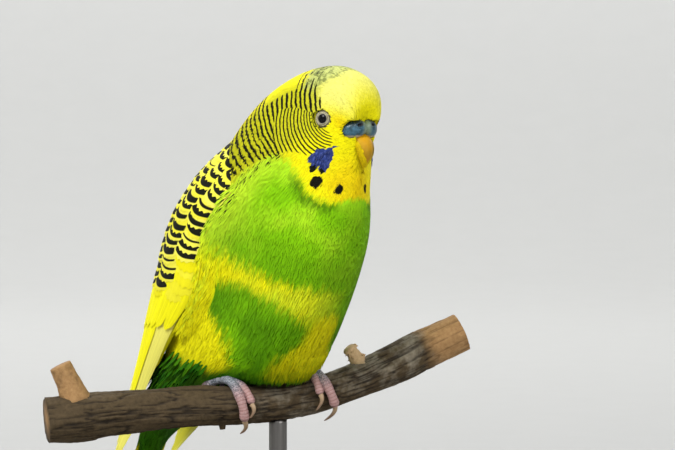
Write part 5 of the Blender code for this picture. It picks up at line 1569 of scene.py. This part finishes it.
def branch():
    along, turn = np.linspace(PERCH_LINE[0][0], PERCH_LINE[-1][0], 420), circle(120)
    middle, _, radius, level, up = (x[:, None] for x in perch_at(along))
    a, t = crossed(along, turn)
    around = level * np.cos(t)[..., None] + up * np.sin(t)[..., None]
    lump = 1 + sum(size * np.sin(waves * t + a * twist) for waves, size, twist in BARK_WAVES)
    base = middle + around * (radius * lump)[..., None]
    peeled = ease(a + 4 * noise(base, 9.0), 46.0, 52.0)
    wave = noise(np.stack([a * 0.16, np.cos(t) * 5.5, np.sin(t) * 5.5], -1), 1.0, 4)
    crack = noise(np.stack([a * 0.07, np.cos(t) * 4.0 + 9, np.sin(t) * 4.0], -1), 1.0)
    crack = np.clip(1 - np.abs(crack) * 7, 0, 1)
    height = 0.30 * wave + 0.14 * noise(base, 1.3) - 0.55 * crack
    height = np.where(peeled > 0.5, height * 0.55 - 0.1, height)
    parts = [capped_tube(middle + around * (radius * lump + height - 0.1)[..., None])]
    fade = (a - along[0]) / (along[-1] - along[0])
    values = [np.stack([np.append(fade, [0, 1]), np.append(crack, [0, 0]), np.append(peeled, [1, 1])], -1)]
    for name, at, steps, bare in TWIG_STUBS:
        root, knob = perch_at(at)[0], name == "knob_stub"
        table = [[*(root + Z_AXIS * rise + PERCH_AXIS * shift), size] for rise, shift, size in steps]
        share = np.linspace(0, 1, 60)
        path = smooth_table(table, np.linspace(0, len(steps) - 1, 60))
        rings = path_rings(path[:, :3], path[:, 3], path[:, 3], 60)
        lumps = noise(rings, 2.0)
        out = unit(rings - path[:, None, :3])
        if knob:
            lumps = lumps * 2.6 - 0.9 * np.clip((share[:, None] - 0.9) / 0.1, 0, 1) ** 2 * path[:, 3:]
        rings = rings + out * (0.22 * lumps)[..., None]
        parts.append(capped_tube(rings))
        # groove: how deep a point lies in a dip, which the bark darkens as painted shade
        values.append(np.stack([
            np.full(len(parts[-1][0]), 2.0 if knob else 0.2), np.append(np.clip(-lumps * 1.4, 0, 1), [0, 0]),
            np.append(np.repeat(ease(share, 0.1, 0.5), 60), [0, 1]) * bare,
        ], -1))
        for _ in range(KNOB_STRANDS * knob):
            start = rings[rng.integers(20, 57), rng.integers(0, 60)]
            away = unit(start - path[-1, :3]) * 0.35
            away = away + PERCH_AXIS * rng.uniform(-1.0, 0.2) + Z_AXIS * rng.uniform(-0.4, 0.5)
            steps_out = np.linspace(-0.8, rng.uniform(0.4, 1.2), 7)[:, None]
            curl = np.array([0.0, -1.0, 0.3]) * rng.uniform(-0.18, 0.18)
            thin = np.linspace(rng.uniform(0.5, 1.0), 0.25, 7)
            strand = start + away * steps_out + curl * steps_out**2
            parts.append(capped_tube(path_rings(strand, thin, thin * 0.35, 6)))
            values.append(np.tile([2.0, rng.uniform(0.0, 0.15), 1.0], (len(parts[-1][0]), 1)))
    fields = dict(zip(("along", "groove", "peel"), np.vstack(values).T))
    add_mesh("branch", join_parts(parts), bark_material(), ("perch",), fields)


def turned_rings(profile, columns):
    """Rings round Z_AXIS from pairs of radius and height."""
    turn = circle(columns)
    return np.array([np.stack([r * np.cos(turn), r * np.sin(turn), np.full_like(turn, h)], -1) for r, h in profile])


def display_stand():
    """A round wooden base, and a rod up to the branch."""
    wood = Maker("stained_wood", 0.55, 0.25)
    grain = wood.grain((9.0, 140.0, 60.0), 6.0, 0.6)
    stained = wood.blend(wood.smooth(grain, 0.3, 0.7), (0.022, 0.014, 0.010, 1), (0.085, 0.050, 0.030, 1))
    inner, shoulder = BASE_RADIUS - BASE_BEVEL, BASE_HEIGHT - BASE_BEVEL
    profile = [(BASE_RADIUS - 0.6, 0.0), (BASE_RADIUS, 0.6)]
    profile += [(BASE_RADIUS, h) for h in np.linspace(0.8, shoulder, 6)]
    profile += [(inner + BASE_BEVEL * math.cos(a), shoulder + BASE_BEVEL * math.sin(a))
                for a in np.linspace(0.2, math.pi / 2, 7)]
    profile += [(r, BASE_HEIGHT) for r in np.linspace(inner - 0.6, 4.0, 10)]
    base = capped_tube(turned_rings(profile, 160) - ORIGIN)
    add_mesh("plinth", base, wood.finish(stained, grain, 0.12, 0.0004), ("stand_base",))
    steel = Maker("brushed_metal", 0.32, metallic=1.0)
    brushed = steel.grain((900, 900, 40), 3.0)
    grey = steel.blend(brushed, (0.10, 0.095, 0.09, 1), (0.22, 0.21, 0.20, 1))
    metal = steel.finish(grey, brushed, 0.1, 0.0001)
    low, high = (corner.z / MM - PERCH_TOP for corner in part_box("stand_rod"))
    x, y, _ = perch_at(0.0)[0]
    path = np.array([(x, y, z) for z in np.linspace(low, high, 40)])
    radii = np.full(40, ROD_RADIUS - ROD_CLEAR)
    add_mesh("rod", capped_tube(path_rings(path, radii, radii, 48)), metal, ("stand_rod",))


# Floor, lights and camera

def looking_back(azimuth, elevation):
    """The direction from the thing looked at to the camera or a lamp."""
    a, e = math.radians(azimuth), math.radians(elevation)
    return Vector((math.sin(a) * math.cos(e), -math.cos(a) * math.cos(e), math.sin(e)))


def lamp(name, place, aim, size, power):
    light = bpy.data.lights.new(name, "AREA")
    light.shape, light.size, light.energy = "DISK", size, power
    made = link(name, light)
    made.location, made.rotation_euler = place, aim.to_track_quat("-Z", "Y").to_euler()


def stage_and_light():
    profile = [(0.5, 0.0), (1.2, 0.0)]
    profile += [(FLOOR_FLAT + FLOOR_BEND * math.sin(a), FLOOR_BEND * (1 - math.cos(a)))
                for a in np.linspace(0, math.pi / 2, 16)]
    rings = turned_rings(profile + [(FLOOR_FLAT + FLOOR_BEND, WALL_HEIGHT)], 96)
    mesh = bpy.data.meshes.new("floor")
    middle = list(range(95, -1, -1))
    mesh.from_pydata(rings.reshape(-1, 3).tolist(), [], grid_faces(len(rings), 96).tolist() + [middle])
    mesh.shade_smooth()
    m = Maker("floor_paper", 0.9)
    paper = m.blend(m.noise(m.place(), 40.0, 4.0), (0.96, 0.96, 0.95, 1), (1.0, 1.0, 0.99, 1))
    rise = m.smooth(m.split(m.place())[2], 0.0, 1.0)
    grey = m.blend(rise, (0.40, 0.40, 0.395, 1), (0.88, 0.88, 0.875, 1))
    mesh.materials.append(m.finish(m.blend(1.0, grey, paper, "MULTIPLY")))
    link("floor", mesh)
    scene = bpy.context.scene
    scene.view_settings.view_transform = "Standard"
    scene.world = bpy.data.worlds.new("soft_room")
    scene.world.use_nodes = True
    background = scene.world.node_tree.nodes["Background"].inputs
    background["Color"].default_value, background["Strength"].default_value = (0.80, 0.82, 0.85, 1), 0.72
    for name, azimuth, elevation, distance, size, power in LIGHTS:
        back = looking_back(azimuth, elevation)
        lamp(name, LIGHT_TARGET + back * distance, -back, size, power)
    lamp("wall", WALL_LIGHT_PLACE, WALL_LIGHT_AIM, 1.2, 30.0)


def camera():
    azimuth = math.radians(CAMERA_AZIMUTH_DEG)
    back = looking_back(CAMERA_AZIMUTH_DEG, CAMERA_ELEVATION_DEG)
    right = Vector((math.cos(azimuth), math.sin(azimuth), 0.0))
    off_x = (PHOTO_SIZE[0] / 2 - PERCH_TOP_PIXEL[0]) * MM_PER_PIXEL
    off_y = (PERCH_TOP_PIXEL[1] - PHOTO_SIZE[1] / 2) * MM_PER_PIXEL
    target = Vector(ORIGIN) + right * off_x + back.cross(right) * off_y
    data = bpy.data.cameras.new("camera")
    data.sensor_width = SENSOR_WIDTH
    data.lens = SENSOR_WIDTH * CAMERA_DISTANCE / (PHOTO_SIZE[0] * MM_PER_PIXEL)
    data.clip_start, data.clip_end = 0.01, 100.0
    made = link("camera", data)
    made.location = (target + back * CAMERA_DISTANCE) * MM
    made.rotation_mode = "QUATERNION"
    made.rotation_quaternion = (-back).to_track_quat("-Z", "Y")
    bpy.context.scene.camera = made


skin()
body_coat()
for sign, side in SIDES:
    for dress in (thigh_coat, shoulder_coat, wing_skin, coverts, flight_feathers):
        dress(sign, side)
tail_coat()
for sign, side in SIDES:
    cheek_patch(sign, side)
belly_fringe()
vent_feathers()
bill_bristles()
eyes()
cere()
bill()
foot_skin, claw_horn = foot_material(), claw_material()
for sign, side in SIDES:
    foot(sign, side, foot_skin, claw_horn)
branch()
display_stand()
stage_and_light()
camera()

bpy.context.view_layer.update()
